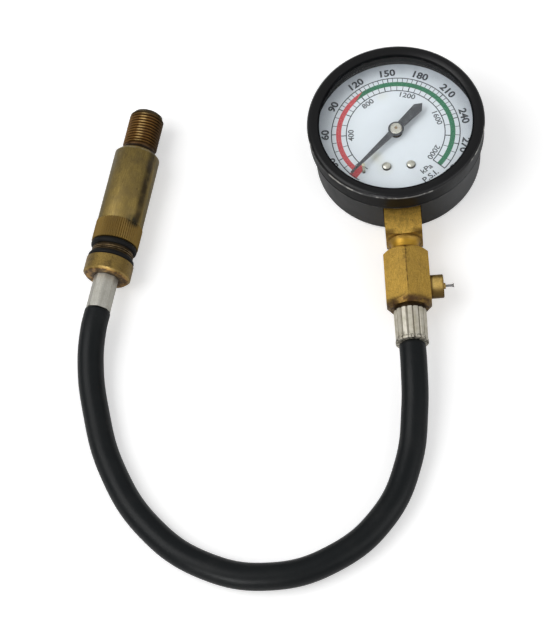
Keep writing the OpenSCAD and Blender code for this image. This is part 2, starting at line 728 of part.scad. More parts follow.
// Release valve: boss screwed into the hexagon's side, with a core, a sprung pin and its seal
module valve_stem() color(brass) on_valve(0) difference() {
    union() {
        translate([0, 0, core_start - boss_tail]) cylinder(r = boss_thread_r, h = boss_end - core_start);
        translate([0, 0, boss_start]) rotate_extrude() polygon([
            [0, 0], [boss_r, 0], [boss_r, boss_len - 0.3], [boss_r - 0.3, boss_len], [0, boss_len]
        ]);
    }
    translate([0, 0, core_start - 2]) cylinder(r = core_r + gap, h = boss_end);
}
module valve_core() color(brass) on_valve(0) difference() {
    union() {
        translate([0, 0, core_start]) cylinder(r = core_r, h = boss_end - 0.6 - core_start);
        translate([0, 0, core_start]) cylinder(r = core_nose_r, h = core_end - core_start);
    }
    translate([0, 0, core_start - 1]) cylinder(r = pin_r + run_gap, h = core_end);
    translate([0, 0, core_start + 0.8]) cylinder(r = chamber_r, h = boss_end - 1.4 - core_start);
}
module valve_pin() color(steel) on_valve(0) {
    translate([0, 0, core_start - seal_len - valve_travel])
        cylinder(r = pin_r, h = pin_end - core_start + seal_len + valve_travel);
    translate([0, 0, pin_end - pin_head_len]) cylinder(r1 = pin_r, r2 = pin_head_r, h = pin_head_len);
    translate([0, 0, boss_end - 0.7 - pin_collar_t]) cylinder(r = pin_collar_r, h = pin_collar_t);
}
module valve_seal() color(rubber) on_valve(core_start - seal_len - gap)
    ring(seal_r, pin_r + gap / 2, seal_len);
module coil(bottom, top, r, turns) swept(
    [for (i = [0 : turns * 10])
        [r * cos(36 * i), r * sin(36 * i), bottom + (top - bottom) * i / (turns * 10)]],
    [for (i = [0 : turns * 10]) spring_wire / 2], 0, 6
);
module valve_spring() color(steel) on_valve(0)
    coil(core_start + 0.8 + spring_wire, boss_end - 0.9 - spring_wire, coil_r, 4);

// Hose nipple: screwed into the valve body up to its collar, barbed inside the hose
barb_step = 3;
barb_w = 2;
barb_rise = 0.25;
module barbs(r, len) for (z = [barb_w : barb_step : len - barb_w])
    translate([0, 0, z]) cylinder(r1 = r, r2 = r - barb_rise, h = barb_w);
module hose_nipple() color(brass) on_stem(hex_end) difference() {
    union() {
        translate([0, 0, -nipple_in]) cylinder(r = nipple_thread_r, h = nipple_in);
        cylinder(r = near_ferrule_r - 0.4, h = nipple_collar);
        translate([0, 0, nipple_collar]) {
            cylinder(r = nipple_r - barb_rise, h = near_ferrule_len);
            barbs(nipple_r, near_ferrule_len);
        }
    }
    translate([0, 0, -nipple_in - 1])
        cylinder(r = nipple_bore, h = near_ferrule_len + nipple_collar + nipple_in + 2);
}

// Near ferrule: crimped sleeve with flutes all round and a flared lip at the hose
flutes = 16;
flute_r = 0.5;
lip_len = 1.6;
module near_ferrule() color(nickel) on_stem(near_start) difference() {
    rotate_extrude() polygon([
        [0, 0], [near_ferrule_r, 0], [near_ferrule_r - 0.15, near_ferrule_len - lip_len + 0.2],
        [near_ferrule_r, near_ferrule_len - 0.8], [near_ferrule_r, near_ferrule_len], [0, near_ferrule_len]
    ]);
    translate([0, 0, -1]) cylinder(r = hose_r - near_mouth_crush + gap, h = near_ferrule_len + 2);
    for (k = [0 : flutes - 1]) rotate([0, 0, 360 * (k + 0.5) / flutes])
        translate([near_ferrule_r + flute_r * 0.1, 0, -1])
            cylinder(r = flute_r, h = near_ferrule_len - lip_len + 1, $fn = 16);
}

// Hose: tube along its route, squeezed thinner inside both ferrules
hose_sides = 12;
span_steps = 4;
lay = [
    for (i = [0 : len(route) - 2], s = [0 : span_steps - 1]) curve(route, i, s / span_steps),
    route[len(route) - 1]
];
hose_path = concat(
    [far_face - far_dir * gap, far_mouth, far_mouth - far_dir * 0.8],
    lay,
    [near_end - [0, 0.8, 0], near_end, near_face - [0, gap, 0]]
);
hose_radii = [
    for (i = [0 : len(hose_path) - 1])
        i < 2 ? hose_r - far_mouth_crush
            : i > len(hose_path) - 3 ? hose_r - near_mouth_crush
            : hose_r
];
module hose() color(rubber) swept(hose_path, hose_radii, hose_bore / 2, hose_sides);

// Far ferrule: sleeve crimped to flat facets
crimp_corner_r = far_ferrule_r + 0.1;
module far_ferrule() color(nickel) on_adapter(-far_ferrule_len) difference() {
    intersection() {
        cylinder(r = far_ferrule_r, h = far_ferrule_len);
        rotate([0, 0, 10]) cylinder(r = crimp_corner_r, h = far_ferrule_len, $fn = 8);
    }
    translate([0, 0, -1]) cylinder(r = hose_r - far_mouth_crush + gap, h = far_ferrule_len + 2);
}

// Hose end: barb, collar, shank with two ring grooves and the thread that the adapter screws on
check_r = 2.6;
check_len = 7;
check_at = knurl_at + screw_len - check_len;
module hose_end() color(brass) on_adapter(0) difference() {
    union() {
        translate([0, 0, -barb_len]) cylinder(r = nipple_r - barb_rise, h = barb_len);
        translate([0, 0, -barb_len]) barbs(nipple_r, barb_len);
        rotate_extrude() polygon([
            [0, 0], [collar_r - 1, 0], [collar_r, 1], [collar_r, collar_len],
            [ring_in_r, collar_len], [ring_in_r, collar_len + ring_d],
            [shank_r, collar_len + ring_d], [shank_r, knurl_at - ring_d],
            [ring_in_r, knurl_at - ring_d], [ring_in_r, knurl_at],
            [screw_r, knurl_at], [screw_r, knurl_at + screw_len - 0.6],
            [screw_r - 0.6, knurl_at + screw_len], [0, knurl_at + screw_len]
        ]);
    }
    translate([0, 0, -barb_len - 1]) cylinder(r = nipple_bore, h = knurl_at + screw_len + barb_len + 2);
    translate([0, 0, check_at]) cylinder(r = check_r + gap, h = check_len + 1);
}
module o_rings() color(rubber) for (s = [collar_len + ring_d / 2, knurl_at - ring_d / 2])
    on_adapter(s) rotate_extrude()
        translate([ring_in_r + ring_d / 2 + gap, 0]) circle(r = ring_d / 2 - gap, $fn = 24);

// Adapter: knurled end, smooth body and a plug thread with a relief groove
knurl_depth = 0.35;
body_bevel = 1.2;
module adapter() color(old_brass) on_adapter(knurl_at) difference() {
    union() {
        linear_extrude(knurl_len) polygon([
            for (k = [0 : 2 * knurl_count - 1])
                (knurl_r - (k % 2) * knurl_depth) * [cos(180 * k / knurl_count), sin(180 * k / knurl_count)]
        ]);
        translate([0, 0, knurl_len]) rotate_extrude($fn = 96) polygon([
            [0, 0], [knurl_r - knurl_depth - 0.2, 0], [knurl_r - knurl_depth - 0.2, 0.4], [body_r, 0.8],
            [body_r, body_len - body_bevel], [body_r - body_bevel, body_len],
            [thread_r - relief_depth, body_len], [thread_r - relief_depth, body_len + relief_len],
            [thread_r, body_len + relief_len + 0.6], [thread_r, body_len + thread_len - 1],
            [thread_r - 1, body_len + thread_len], [0, body_len + thread_len]
        ]);
    }
    translate([0, 0, -1]) cylinder(r = screw_r + gap, h = screw_len + 2);
    cylinder(r = passage_r, h = knurl_len + body_len + thread_len + 1);
}

// One-way valve in the hose end, which holds the highest reading
check_pin_r = 0.45;
check_seat = check_at + 3.2;
module check_core() color(brass) on_adapter(0) difference() {
    translate([0, 0, check_seat]) cylinder(r = check_r, h = knurl_at + screw_len - check_seat - 0.4);
    translate([0, 0, check_seat - 1]) cylinder(r = check_pin_r + run_gap, h = check_len + 2);
    translate([0, 0, check_seat + 0.6]) cylinder(r = chamber_r, h = 2.4);
    for (k = [0 : 2]) rotate([0, 0, 120 * k])
        translate([1.75, 0, check_seat - 1]) cylinder(r = 0.45, h = check_len + 2);
}
module check_pin() color(steel) on_adapter(check_seat) {
    translate([0, 0, -seal_len - 0.4])
        cylinder(r = check_pin_r, h = knurl_at + screw_len - check_seat + seal_len + 0.3);
    translate([0, 0, 2.9 - pin_collar_t]) cylinder(r = pin_collar_r, h = pin_collar_t);
}
module check_seal() color(rubber) on_adapter(check_seat - seal_len - gap)
    ring(check_r - 0.3, check_pin_r + gap / 2, seal_len);
module check_spring() color(steel) on_adapter(0)
    coil(check_seat + 0.6 + spring_wire, check_seat + 2.6 - spring_wire, coil_r, 3);

gauge_case();
bezel();
lens();
lens_gasket();
dial_plate();
dial_screws();
stop_pin();
pointer();
pointer_hub();
pinion_arbor();
hairspring();
hairspring_collet();
hairspring_stud();
sector_gear();
sector_arbor();
link();
link_screw();
tip_pin();
tube_tip();
bourdon_tube();
movement_bottom_plate();
movement_top_plate();
movement_pillars();
pillar_screws();
movement_screws();
case_screws();
socket();
valve_body();
valve_stem();
valve_core();
valve_pin();
valve_seal();
valve_spring();
hose_nipple();
near_ferrule();
hose();
far_ferrule();
hose_end();
o_rings();
adapter();
check_core();
check_pin();
check_seal();
check_spring();
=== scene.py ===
import math

import bmesh
import bpy
from mathutils import Matrix, Vector


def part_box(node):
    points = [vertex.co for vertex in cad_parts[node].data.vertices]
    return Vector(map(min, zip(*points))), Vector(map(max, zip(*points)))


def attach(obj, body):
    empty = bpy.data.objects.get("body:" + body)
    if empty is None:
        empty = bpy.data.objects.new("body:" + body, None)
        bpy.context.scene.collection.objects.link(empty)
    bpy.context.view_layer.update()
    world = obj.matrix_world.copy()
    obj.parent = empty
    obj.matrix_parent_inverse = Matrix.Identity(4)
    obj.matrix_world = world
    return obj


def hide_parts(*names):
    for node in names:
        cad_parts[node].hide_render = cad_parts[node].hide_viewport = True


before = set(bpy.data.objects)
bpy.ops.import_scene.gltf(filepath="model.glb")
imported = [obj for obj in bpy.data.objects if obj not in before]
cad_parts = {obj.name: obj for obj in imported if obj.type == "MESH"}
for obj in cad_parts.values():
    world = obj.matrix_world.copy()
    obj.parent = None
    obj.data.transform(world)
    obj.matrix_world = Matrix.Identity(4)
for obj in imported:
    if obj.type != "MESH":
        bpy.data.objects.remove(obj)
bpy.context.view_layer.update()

# Gauge case
# A cup drawn from thin steel sheet and sprayed satin black inside and out. Two screws through a
# pocket in its back hold it to the block of the stem.
mm = 0.001
case_black = (0.0045, 0.0047, 0.0053, 1)
dust_grey = (0.033, 0.037, 0.036, 1)
side_light_pale = (0.2, 0.205, 0.21, 1)
bare_steel = (0.6, 0.59, 0.55, 1)
rubbed_and_highlight_grey = (0.24, 0.24, 0.235, 1)
case_rough, case_shine = 0.45, 0.38
everywhere = 1.0


def node(tree, kind, inputs=None, **settings):
    """A shader node with its settings, whose inputs are plain values or wired to sockets."""
    made = tree.nodes.new("ShaderNode" + kind)
    for name, value in settings.items():
        setattr(made, name, value)
    for name, value in (inputs or {}).items():
        if isinstance(value, bpy.types.NodeSocket):
            tree.links.new(value, made.inputs[name])
        else:
            made.inputs[name].default_value = value
    return made


def effect(name, takes, gives):
    """An empty shader node group, with the sockets that it takes and gives."""
    tree = bpy.data.node_groups.new(name, "ShaderNodeTree")
    for label, kind in takes.items():
        tree.interface.new_socket(name=label, in_out="INPUT", socket_type="NodeSocket" + kind)
    for label, kind in gives.items():
        tree.interface.new_socket(name=label, in_out="OUTPUT", socket_type="NodeSocket" + kind)
    return tree, tree.nodes.new("NodeGroupInput").outputs, tree.nodes.new("NodeGroupOutput").inputs


def tint(tree, mask, low, high):
    """A colour that goes from low to high as the mask goes from 0 to 1."""
    return node(tree, "Mix", {0: mask, 6: low, 7: high}, data_type="RGBA").outputs[2]


def level(tree, mask, low, high):
    """A value that goes from low to high as the mask goes from 0 to 1."""
    return node(tree, "MapRange", {"Value": mask, "To Min": low, "To Max": high}).outputs["Result"]


def sums(tree, operation, a, b=0.0):
    """The result of a sum on one or two values."""
    return node(tree, "Math", {0: a, 1: b}, operation=operation).outputs[0]


def times(tree, a, b):
    """One value times another."""
    return sums(tree, "MULTIPLY", a, b)


def ramp(tree, value, start, end):
    """A mask that goes smoothly from 0 where the value is at start to 1 where it is at end."""
    values = {"Value": value, "From Min": start, "From Max": end}
    return node(tree, "MapRange", values, interpolation_type="SMOOTHSTEP").outputs["Result"]


def split(tree, place):
    """The X, Y and Z of a place."""
    return node(tree, "SeparateXYZ", {"Vector": place}).outputs


# Cloudy patches of a given size: dust, handling marks, tarnish
patches, taken, given = effect(
    "Patches", {"Vector": "Vector", "Size": "Float", "Low": "Float", "High": "Float"}, {"Mask": "Float"}
)
fineness = sums(patches, "DIVIDE", 1.0, taken["Size"])
cloud = node(
    patches, "TexNoise", {"Vector": taken["Vector"], "Scale": fineness, "Detail": 4.0, "Roughness": 0.6}
)
patches.links.new(ramp(patches, cloud.outputs["Fac"], taken["Low"], taken["High"]), given["Mask"])

# Place on a turned piece: distance from its axis, angle round it and distance along it
round_place, taken, given = effect(
    "Round place", {"Vector": "Vector"}, {"Radius": "Float", "Angle": "Float", "Along": "Float"}
)
place = split(round_place, taken["Vector"])
across = node(round_place, "CombineXYZ", {"X": place["X"], "Y": place["Y"]}).outputs["Vector"]
radius = node(round_place, "VectorMath", {0: across}, operation="LENGTH").outputs["Value"]
angle = sums(round_place, "ARCTAN2", place["Y"], place["X"])
for label, socket in (("Radius", radius), ("Angle", angle), ("Along", place["Z"])):
    round_place.links.new(socket, given[label])


def turned(tree, place):
    """Radius, angle and distance along of a place on a turned piece."""
    return node(tree, "Group", {"Vector": place}, node_tree=round_place).outputs


# Round edge: 1 on the edge at that radius and height, fading to 0 a reach away
round_edge, taken, given = effect(
    "Round edge",
    {"Vector": "Vector", "Edge radius": "Float", "Edge along": "Float", "Reach": "Float"},
    {"Mask": "Float"},
)
spot = turned(round_edge, taken["Vector"])
out = sums(round_edge, "SUBTRACT", spot["Radius"], taken["Edge radius"])
up = sums(round_edge, "SUBTRACT", spot["Along"], taken["Edge along"])
away = node(round_edge, "CombineXYZ", {"X": out, "Y": up}).outputs["Vector"]
away = node(round_edge, "VectorMath", {0: away}, operation="LENGTH").outputs["Value"]
round_edge.links.new(ramp(round_edge, away, taken["Reach"], 0.0), given["Mask"])


def finish(name, plain):
    """A new material: its node tree, its shader with plain values on its sockets, and the place."""
    made = bpy.data.materials.new(name)
    made.use_nodes = True
    tree = made.node_tree
    shader = tree.nodes["Principled BSDF"]
    for socket, value in plain.items():
        shader.inputs[socket].default_value = value
    return made, tree, shader, node(tree, "TexCoord").outputs["Object"]


def patchy(tree, place, size, low, high):
    """A mask of cloudy patches of that size."""
    values = {"Vector": place, "Size": size, "Low": low, "High": high}
    return node(tree, "Group", values, node_tree=patches).outputs["Mask"]


def ridged(tree, shader, height, depth):
    """Wires a height to the shader's normal, with depth in metres."""
    bump = node(tree, "Bump", {"Height": height, "Distance": depth})
    tree.links.new(bump.outputs["Normal"], shader.inputs["Normal"])


def dress(surface, *names):
    """Puts one material on CAD nodes."""
    for name in names:
        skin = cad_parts[name].data
        skin.materials.clear()
        skin.materials.append(surface)


def along_edge(tree, place, edge):
    """A mask along a round edge, given as its radius, height and reach."""
    radius, along, reach = edge
    values = {"Vector": place, "Edge radius": radius, "Edge along": along, "Reach": reach}
    return node(tree, "Group", values, node_tree=round_edge).outputs["Mask"]


def black_enamel(name, gloss, wall, chipped, chipping, rubbed_and_highlight, matt_below, inside):
    """Sprayed black enamel, chipped on one edge and rubbed on another, with a painted highlight as a
    broken pale line along the chipped edge.

    gloss and wall are its roughness, shine and dust above and below the height matt_below.
    Within the radius inside it has little shine. Towards +X it is painted lighter, with thicker dust that
    is paler below matt_below.
    """
    blur, edge_width = 0.2 * mm, 0.7 * mm
    right_from, right_to, right_share = 2 * mm, 26 * mm, 0.7
    girth = 13 * mm
    made, tree, shader, place = finish(name, {})
    spot = turned(tree, place)
    outside = sums(tree, "GREATER_THAN", spot["Radius"], chipped[0] - edge_width)
    matt = ramp(tree, spot["Along"], matt_below + blur, matt_below - blur)
    dusty = tint(tree, matt, gloss[2], wall[2])
    shut_in = ramp(tree, spot["Radius"], inside - blur, inside + blur)
    shine = times(tree, level(tree, shut_in, 0.1, 1.0), level(tree, matt, gloss[1], wall[1]))
    tree.links.new(shine, shader.inputs["Specular IOR Level"])
    # Painted light: towards +X the dust is laid thicker and, below matt_below, paler, so that side reads
    # lighter.
    lit_right_side = times(tree, ramp(tree, split(tree, place)["X"], right_from, right_to), right_share)
    dusty = tint(tree, times(tree, matt, lit_right_side), dusty, side_light_pale)
    dust_and_side_light = patchy(tree, place, 9 * mm, 0.45, 0.75)
    dust_and_side_light = node(tree, "Mix", {0: lit_right_side, 2: dust_and_side_light, 3: 1.0}).outputs[0]
    dust_and_side_light = times(tree, outside, dust_and_side_light)
    specks = patchy(tree, place, 0.7 * mm, 0.62, 0.72)
    unrolled = {"X": times(tree, spot["Angle"], girth), "Y": spot["Along"]}
    unrolled = node(tree, "CombineXYZ", unrolled).outputs["Vector"]
    scratches = patchy(tree, unrolled, 1.3 * mm, 1 - chipping, 1.04 - chipping)
    knocks = patchy(tree, place, 17 * mm, 0.5, 0.6)
    chip_edge = along_edge(tree, place, chipped)
    chips = times(tree, chip_edge, times(tree, scratches, knocks))
    worn = times(tree, along_edge(tree, place, rubbed_and_highlight), level(tree, scratches, 0.15, 0.6))
    # Painted highlight: a broken pale line along the chipped edge.
    thin = times(tree, chip_edge, level(tree, knocks, 0.15, 0.8))
    grey = tint(tree, times(tree, dust_and_side_light, level(tree, specks, 0.45, 1.0)), case_black, dusty)
    grey = tint(tree, worn, grey, rubbed_and_highlight_grey)
    grey = tint(tree, thin, grey, rubbed_and_highlight_grey)
    tree.links.new(tint(tree, chips, grey, bare_steel), shader.inputs["Base Color"])
    tree.links.new(chips, shader.inputs["Metallic"])
    rough = sums(tree, "ADD", times(tree, dust_and_side_light, 0.16), level(tree, matt, gloss[0], wall[0]))
    tree.links.new(rough, shader.inputs["Roughness"])
    ridged(tree, shader, patchy(tree, place, 0.45 * mm, 0.2, 0.8), 0.012 * mm)
    return made


case_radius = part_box("gauge_case")[1].x
case_coat = (case_rough, case_shine, dust_grey)
case_enamel = black_enamel(
    "case_enamel", gloss=case_coat, wall=case_coat,
    chipped=(case_radius, 0.0, 0.5 * mm), chipping=0.4,
    rubbed_and_highlight=(case_radius - 0.6 * mm, 0.6 * mm, 0.9 * mm),
    matt_below=everywhere, inside=case_radius - 0.7 * mm,
)
dress(case_enamel, "gauge_case")

# Bezel
# A rolled steel ring pressed over the mouth of the case, in a glossier coat of the same black.
# Its outer shoulder is rubbed and chipped to bare metal where the gauge has been knocked, and a painted
# highlight runs along it as a broken pale line.
bezel_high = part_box("bezel")[1]
lens_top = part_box("lens")[1].z
ring_r, ring_top = bezel_high.x + 0.2 * mm, bezel_high.z
skirt_r, skirt_z = ring_r - 0.2 * mm, 19.6 * mm
lip_r = case_radius - 3.1 * mm
grip_r = case_radius + 0.05 * mm
groove_z = skirt_z + 1.3 * mm
bezel_rough, bezel_shine, bezel_dust = 0.27, 0.2, (0.012, 0.0125, 0.014, 1)
skirt_shine, skirt_dust = 0.1, (0.013, 0.0145, 0.0145, 1)
bezel_enamel = black_enamel(
    "bezel_enamel",
    gloss=(bezel_rough, bezel_shine, bezel_dust), wall=(case_rough, skirt_shine, skirt_dust),
    chipped=(ring_r - 0.15 * mm, ring_top - 1.2 * mm, 0.42 * mm), chipping=0.5,
    rubbed_and_highlight=(skirt_r, skirt_z + 0.2 * mm, 0.5 * mm),
    matt_below=ring_top - 2.2 * mm, inside=lip_r + 0.6 * mm,
)
ring_profile = [
    (lip_r, lens_top), (grip_r, lens_top), (grip_r, skirt_z), (skirt_r - 0.2 * mm, skirt_z),
    (skirt_r, skirt_z + 0.25 * mm), (skirt_r, groove_z - 0.3 * mm), (skirt_r - 0.25 * mm, groove_z),
    (skirt_r, groove_z + 0.3 * mm), (skirt_r, ring_top - 2.4 * mm),
    (skirt_r - 0.3 * mm, ring_top - 2.2 * mm), (ring_r, ring_top - 1.9 * mm),
    (ring_r, ring_top - 1.4 * mm), (ring_r - 0.12 * mm, ring_top - 1.1 * mm),
    (ring_r - 0.7 * mm, ring_top - 0.5 * mm), (ring_r - 1.2 * mm, ring_top - 0.15 * mm),
    (ring_r - 1.8 * mm, ring_top), (ring_r - 2.6 * mm, ring_top),
    (lip_r + 0.5 * mm, lens_top + 0.75 * mm), (lip_r, lens_top + 0.5 * mm),
]


def spun(profile, steps):
    """A bmesh turned round the Z axis from a closed outline of radii and heights."""
    bm = bmesh.new()
    rim = [bm.verts.new((r, 0, z)) for r, z in profile]
    edges = [bm.edges.new((rim[i - 1], rim[i])) for i in range(len(rim))]
    bmesh.ops.spin(bm, geom=[*rim, *edges], axis=(0, 0, 1), angle=2 * math.pi, steps=steps, use_merge=True)
    return bm


def piece(bm, name, surface, body, place=Matrix.Identity(4)):
    """Closes a bmesh into an object that rides on a body."""
    bmesh.ops.recalc_face_normals(bm, faces=bm.faces)
    bm.transform(place)
    mesh = bpy.data.meshes.new(name)
    bm.to_mesh(mesh)
    bm.free()
    mesh.materials.append(surface)
    made = bpy.data.objects.new(name, mesh)
    bpy.context.scene.collection.objects.link(made)
    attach(made, body)
    return made


bezel_ring = piece(spun(ring_profile, 128), "bezel_ring", bezel_enamel, "gauge")
bezel_ring.data.shade_smooth()
bezel_ring.data.set_sharp_from_angle(angle=math.radians(28))
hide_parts("bezel")

# Window and gasket
# A flat clear plastic disc, lightly smeared. The bezel's lip holds it down on a black rubber ring
# that seals the case.
window_clear = (0.97, 0.985, 0.985, 1)
window_bend = 1.3
made, tree, shader, place = finish(
    "clear_window",
    {"Base Color": window_clear, "Transmission Weight": 1.0, "IOR": window_bend, "Metallic": 0.0},
)
smears = patchy(tree, place, 14 * mm, 0.5, 0.8)
tree.links.new(level(tree, smears, 0.0, 0.035), shader.inputs["Roughness"])
lamp_rays = node(tree, "LightPath").outputs["Is Shadow Ray"]
pass_light = node(tree, "BsdfTransparent")
through = node(tree, "MixShader", {0: lamp_rays})
tree.links.new(shader.outputs["BSDF"], through.inputs[1])
tree.links.new(pass_light.outputs["BSDF"], through.inputs[2])
tree.links.new(through.outputs["Shader"], tree.nodes["Material Output"].inputs["Surface"])
dress(made, "lens")


def black_rubber(name, colour, worn, roughness, grain, shine):
    """Moulded black rubber with a fine grain and paler dusty patches."""
    made, tree, shader, place = finish(name, {"Specular IOR Level": shine})
    dusty = patchy(tree, place, 12 * mm, 0.42, 0.78)
    scuffs = patchy(tree, place, 1.3 * mm, 0.56, 0.74)
    pale = times(tree, dusty, level(tree, scuffs, 0.35, 1.0))
    tree.links.new(tint(tree, pale, colour, worn), shader.inputs["Base Color"])
    tree.links.new(level(tree, pale, roughness, roughness + 0.2), shader.inputs["Roughness"])
    ridged(tree, shader, patchy(tree, place, grain, 0.25, 0.75), 0.03 * mm)
    return made


seal_black, seal_dusty = (0.005, 0.005, 0.005, 1), (0.013, 0.012, 0.011, 1)
seal_rubber = black_rubber("seal_rubber", seal_black, seal_dusty, 0.5, 0.5 * mm, 0.12)
dress(seal_rubber, "lens_gasket", "valve_seal", "check_seal", "o_rings")

# Dial
# A thin aluminium disc in white enamel, held by two screws. It is painted a little bluer and greyer
# towards its rim as shade, in mottled patches, and oily stains have crept in, most of them below its
# middle.
dial_white = (0.54, 0.575, 0.61, 1)
rim_shade_grey = (0.39, 0.425, 0.475, 1)
oil_stain = (0.465, 0.46, 0.375, 1)
dial_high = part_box("dial_plate")[1]
dial_radius = dial_high.x
made, tree, shader, place = finish("dial_enamel", {"Coat Roughness": 0.2, "Roughness": 0.42})
# Painted shade: the enamel turns greyer towards the rim, under the bezel.
towards_rim = ramp(tree, turned(tree, place)["Radius"], dial_radius * 0.72, dial_radius)
mottle = patchy(tree, place, 3.5 * mm, 0.3, 0.75)
white = tint(tree, times(tree, towards_rim, level(tree, mottle, 0.55, 1.0)), dial_white, rim_shade_grey)
stains = [
    ((-8.4, -10.4), 4.2, 0.8), ((-5.2, -15.2), 5.0, 0.55),
    ((-13.5, -14.0), 3.0, 0.5), ((-4.3, 17.2), 3.6, 0.4),
]
for (x, y), reach, strength in stains:
    centre = (x * mm, y * mm, dial_high.z)
    away = node(tree, "VectorMath", {0: place, 1: centre}, operation="DISTANCE").outputs["Value"]
    near = times(tree, ramp(tree, away, reach * mm, 0.0), strength)
    white = tint(tree, times(tree, near, level(tree, mottle, 0.5, 1.0)), white, oil_stain)
tree.links.new(white, shader.inputs["Base Color"])
tree.links.new(level(tree, mottle, 0.0, 0.35), shader.inputs["Coat Weight"])
ridged(tree, shader, patchy(tree, place, 0.8 * mm, 0.2, 0.8), 0.008 * mm)
dress(made, "dial_plate")

# Dial print
# Two scales in dark ink on the enamel, 0 to 300 outside and 0 to 2000 inside, with a red band
# that tapers into a green one between them and a red block at zero.
ink_t = 0.025 * mm
ink_low = dial_high.z - 0.005 * mm
ink_mid = ink_low + ink_t / 2
on_dial = Matrix.Translation((-0.3 * mm, 0, 0))
zero_at, full_sweep, full_scale = 232.3, 277.2, 300
full_kilo, small_unit = 2000, 1 / 6.895
tick_step, fine_step, fine_from, fine_to = 30, 5, 90, 240
kilo_step, kilo_fine, kilo_figures, kilo_from, kilo_to = 200, 50, 400, 600, 1600
outer_line, inner_line = 25.0 * mm, 19.2 * mm
band_out, band_in = 23.2 * mm, 21.25 * mm
tuck = 0.1 * mm
line_w, fine_w = 0.4 * mm, 0.27 * mm


def ink(name, colour, faded):
    """Printing ink, a little uneven where it is thin."""
    made, tree, shader, place = finish(name, {"Roughness": 0.5, "Specular IOR Level": 0.3})
    thin = patchy(tree, place, 1.1 * mm, 0.4, 0.8)
    tree.links.new(tint(tree, thin, colour, faded), shader.inputs["Base Color"])
    return made


black_ink = ink("black_ink", (0.02, 0.024, 0.03, 1), (0.06, 0.065, 0.075, 1))
grey_ink = ink("grey_ink", (0.05, 0.054, 0.06, 1), (0.11, 0.115, 0.125, 1))


def value_angle(value):
    """Angle on the dial of a value on the outer scale, in degrees."""
    return zero_at - full_sweep * value / full_scale


def arc(bm, inner, outer, start, end):
    """A flat curved bar of ink from one angle to another."""
    corners = [(inner, ink_low), (outer, ink_low), (outer, ink_low + ink_t), (inner, ink_low + ink_t)]
    face = bm.faces.new([bm.verts.new((r, 0, z)) for r, z in corners])
    bmesh.ops.rotate(bm, verts=face.verts, matrix=Matrix.Rotation(math.radians(start), 3, "Z"))
    steps = max(1, round(abs(end - start) / 2))
    bmesh.ops.spin(
        bm, geom=[face, *face.edges, *face.verts], axis=(0, 0, 1),
        angle=math.radians(end - start), steps=steps,
    )


def tick(bm, inner, outer, degrees, width):
    """A radial line of ink."""
    turn = Matrix.Rotation(math.radians(degrees), 4, "Z")
    place = turn @ Matrix.Translation(((inner + outer) / 2, 0, ink_mid))
    bmesh.ops.create_cube(bm, size=1, matrix=place @ Matrix.Diagonal((outer - inner, width, ink_t, 1)))


lines = bmesh.new()
for middle in (outer_line, inner_line):
    arc(lines, middle - line_w / 2, middle + line_w / 2, value_angle(0), value_angle(full_scale))
for value in range(tick_step, full_scale, tick_step):
    tick(lines, band_out - tuck, outer_line, value_angle(value), line_w)
for kilo in range(kilo_step, full_kilo + 1, kilo_step):
    tick(lines, inner_line, band_in + tuck, value_angle(kilo * small_unit), line_w)
tick(lines, inner_line, outer_line + line_w / 2, value_angle(full_scale), line_w)
piece(lines, "dial_lines", black_ink, "gauge", on_dial)

fine_lines = bmesh.new()
for value in range(fine_step, full_scale, fine_step):
    if value % tick_step and (fine_from < value < fine_to or value % (2 * fine_step) == 0):
        tick(fine_lines, band_out - tuck, outer_line, value_angle(value), fine_w)
for kilo in range(kilo_fine, full_kilo + 1, kilo_fine):
    if kilo % kilo_step and (kilo_from < kilo < kilo_to or kilo % (2 * kilo_fine) == 0):
        tick(fine_lines, inner_line, band_in + tuck, value_angle(kilo * small_unit), fine_w)
piece(fine_lines, "dial_fine_lines", grey_ink, "gauge", on_dial)


def wedge_band(bm, start_in, start_out, end_in, end_out):
    """A flat band of ink whose two ends may slant, from values on its inner and outer edges."""
    for edge, start, end in ((band_in, start_in, end_in), (band_out, start_out, end_out)):
        turn = Matrix.Rotation(math.radians(value_angle(start)), 3, "Z")
        first = bm.verts.new(turn @ Vector((edge, 0, ink_low)))
        sweep = math.radians(value_angle(end) - value_angle(start))
        bmesh.ops.spin(bm, geom=[first], axis=(0, 0, 1), steps=60, angle=sweep)
    flat = bmesh.ops.bridge_loops(bm, edges=bm.edges)["faces"]
    raised = bmesh.ops.extrude_face_region(bm, geom=flat, use_keep_orig=True)["geom"]
    top = [part for part in raised if isinstance(part, bmesh.types.BMVert)]
    bmesh.ops.translate(bm, verts=top, vec=(0, 0, ink_t))


red_ink = ink("red_ink", (0.43, 0.045, 0.055, 1), (0.52, 0.10, 0.10, 1))
green_ink = ink("green_ink", (0.018, 0.125, 0.06, 1), (0.034, 0.165, 0.09, 1))
red_start, taper_in, taper_out = 8, 104, 121
zero_from, zero_to = 221.4, 229.2
red_band = bmesh.new()
wedge_band(red_band, red_start, red_start, taper_in, taper_out)
piece(red_band, "dial_red_band", red_ink, "gauge", on_dial)
green_band = bmesh.new()
wedge_band(green_band, taper_in, taper_out, full_scale, full_scale)
piece(green_band, "dial_green_band", green_ink, "gauge", on_dial)
zero_block = bmesh.new()
arc(zero_block, inner_line, outer_line + 0.3 * mm, zero_from, zero_to)
piece(zero_block, "dial_zero_block", red_ink, "gauge", on_dial)

figure_stretch, cap_share = 1.12, 0.69
figure_h, figure_weight, figure_r = 2.8 * mm, 0.14 * mm, 27.35 * mm
small_h, small_weight, small_r = 2.1 * mm, 0.065 * mm, 17.25 * mm
unit_weight = 0.06 * mm
unit_turn = Matrix.Rotation(math.radians(35), 4, "Z")


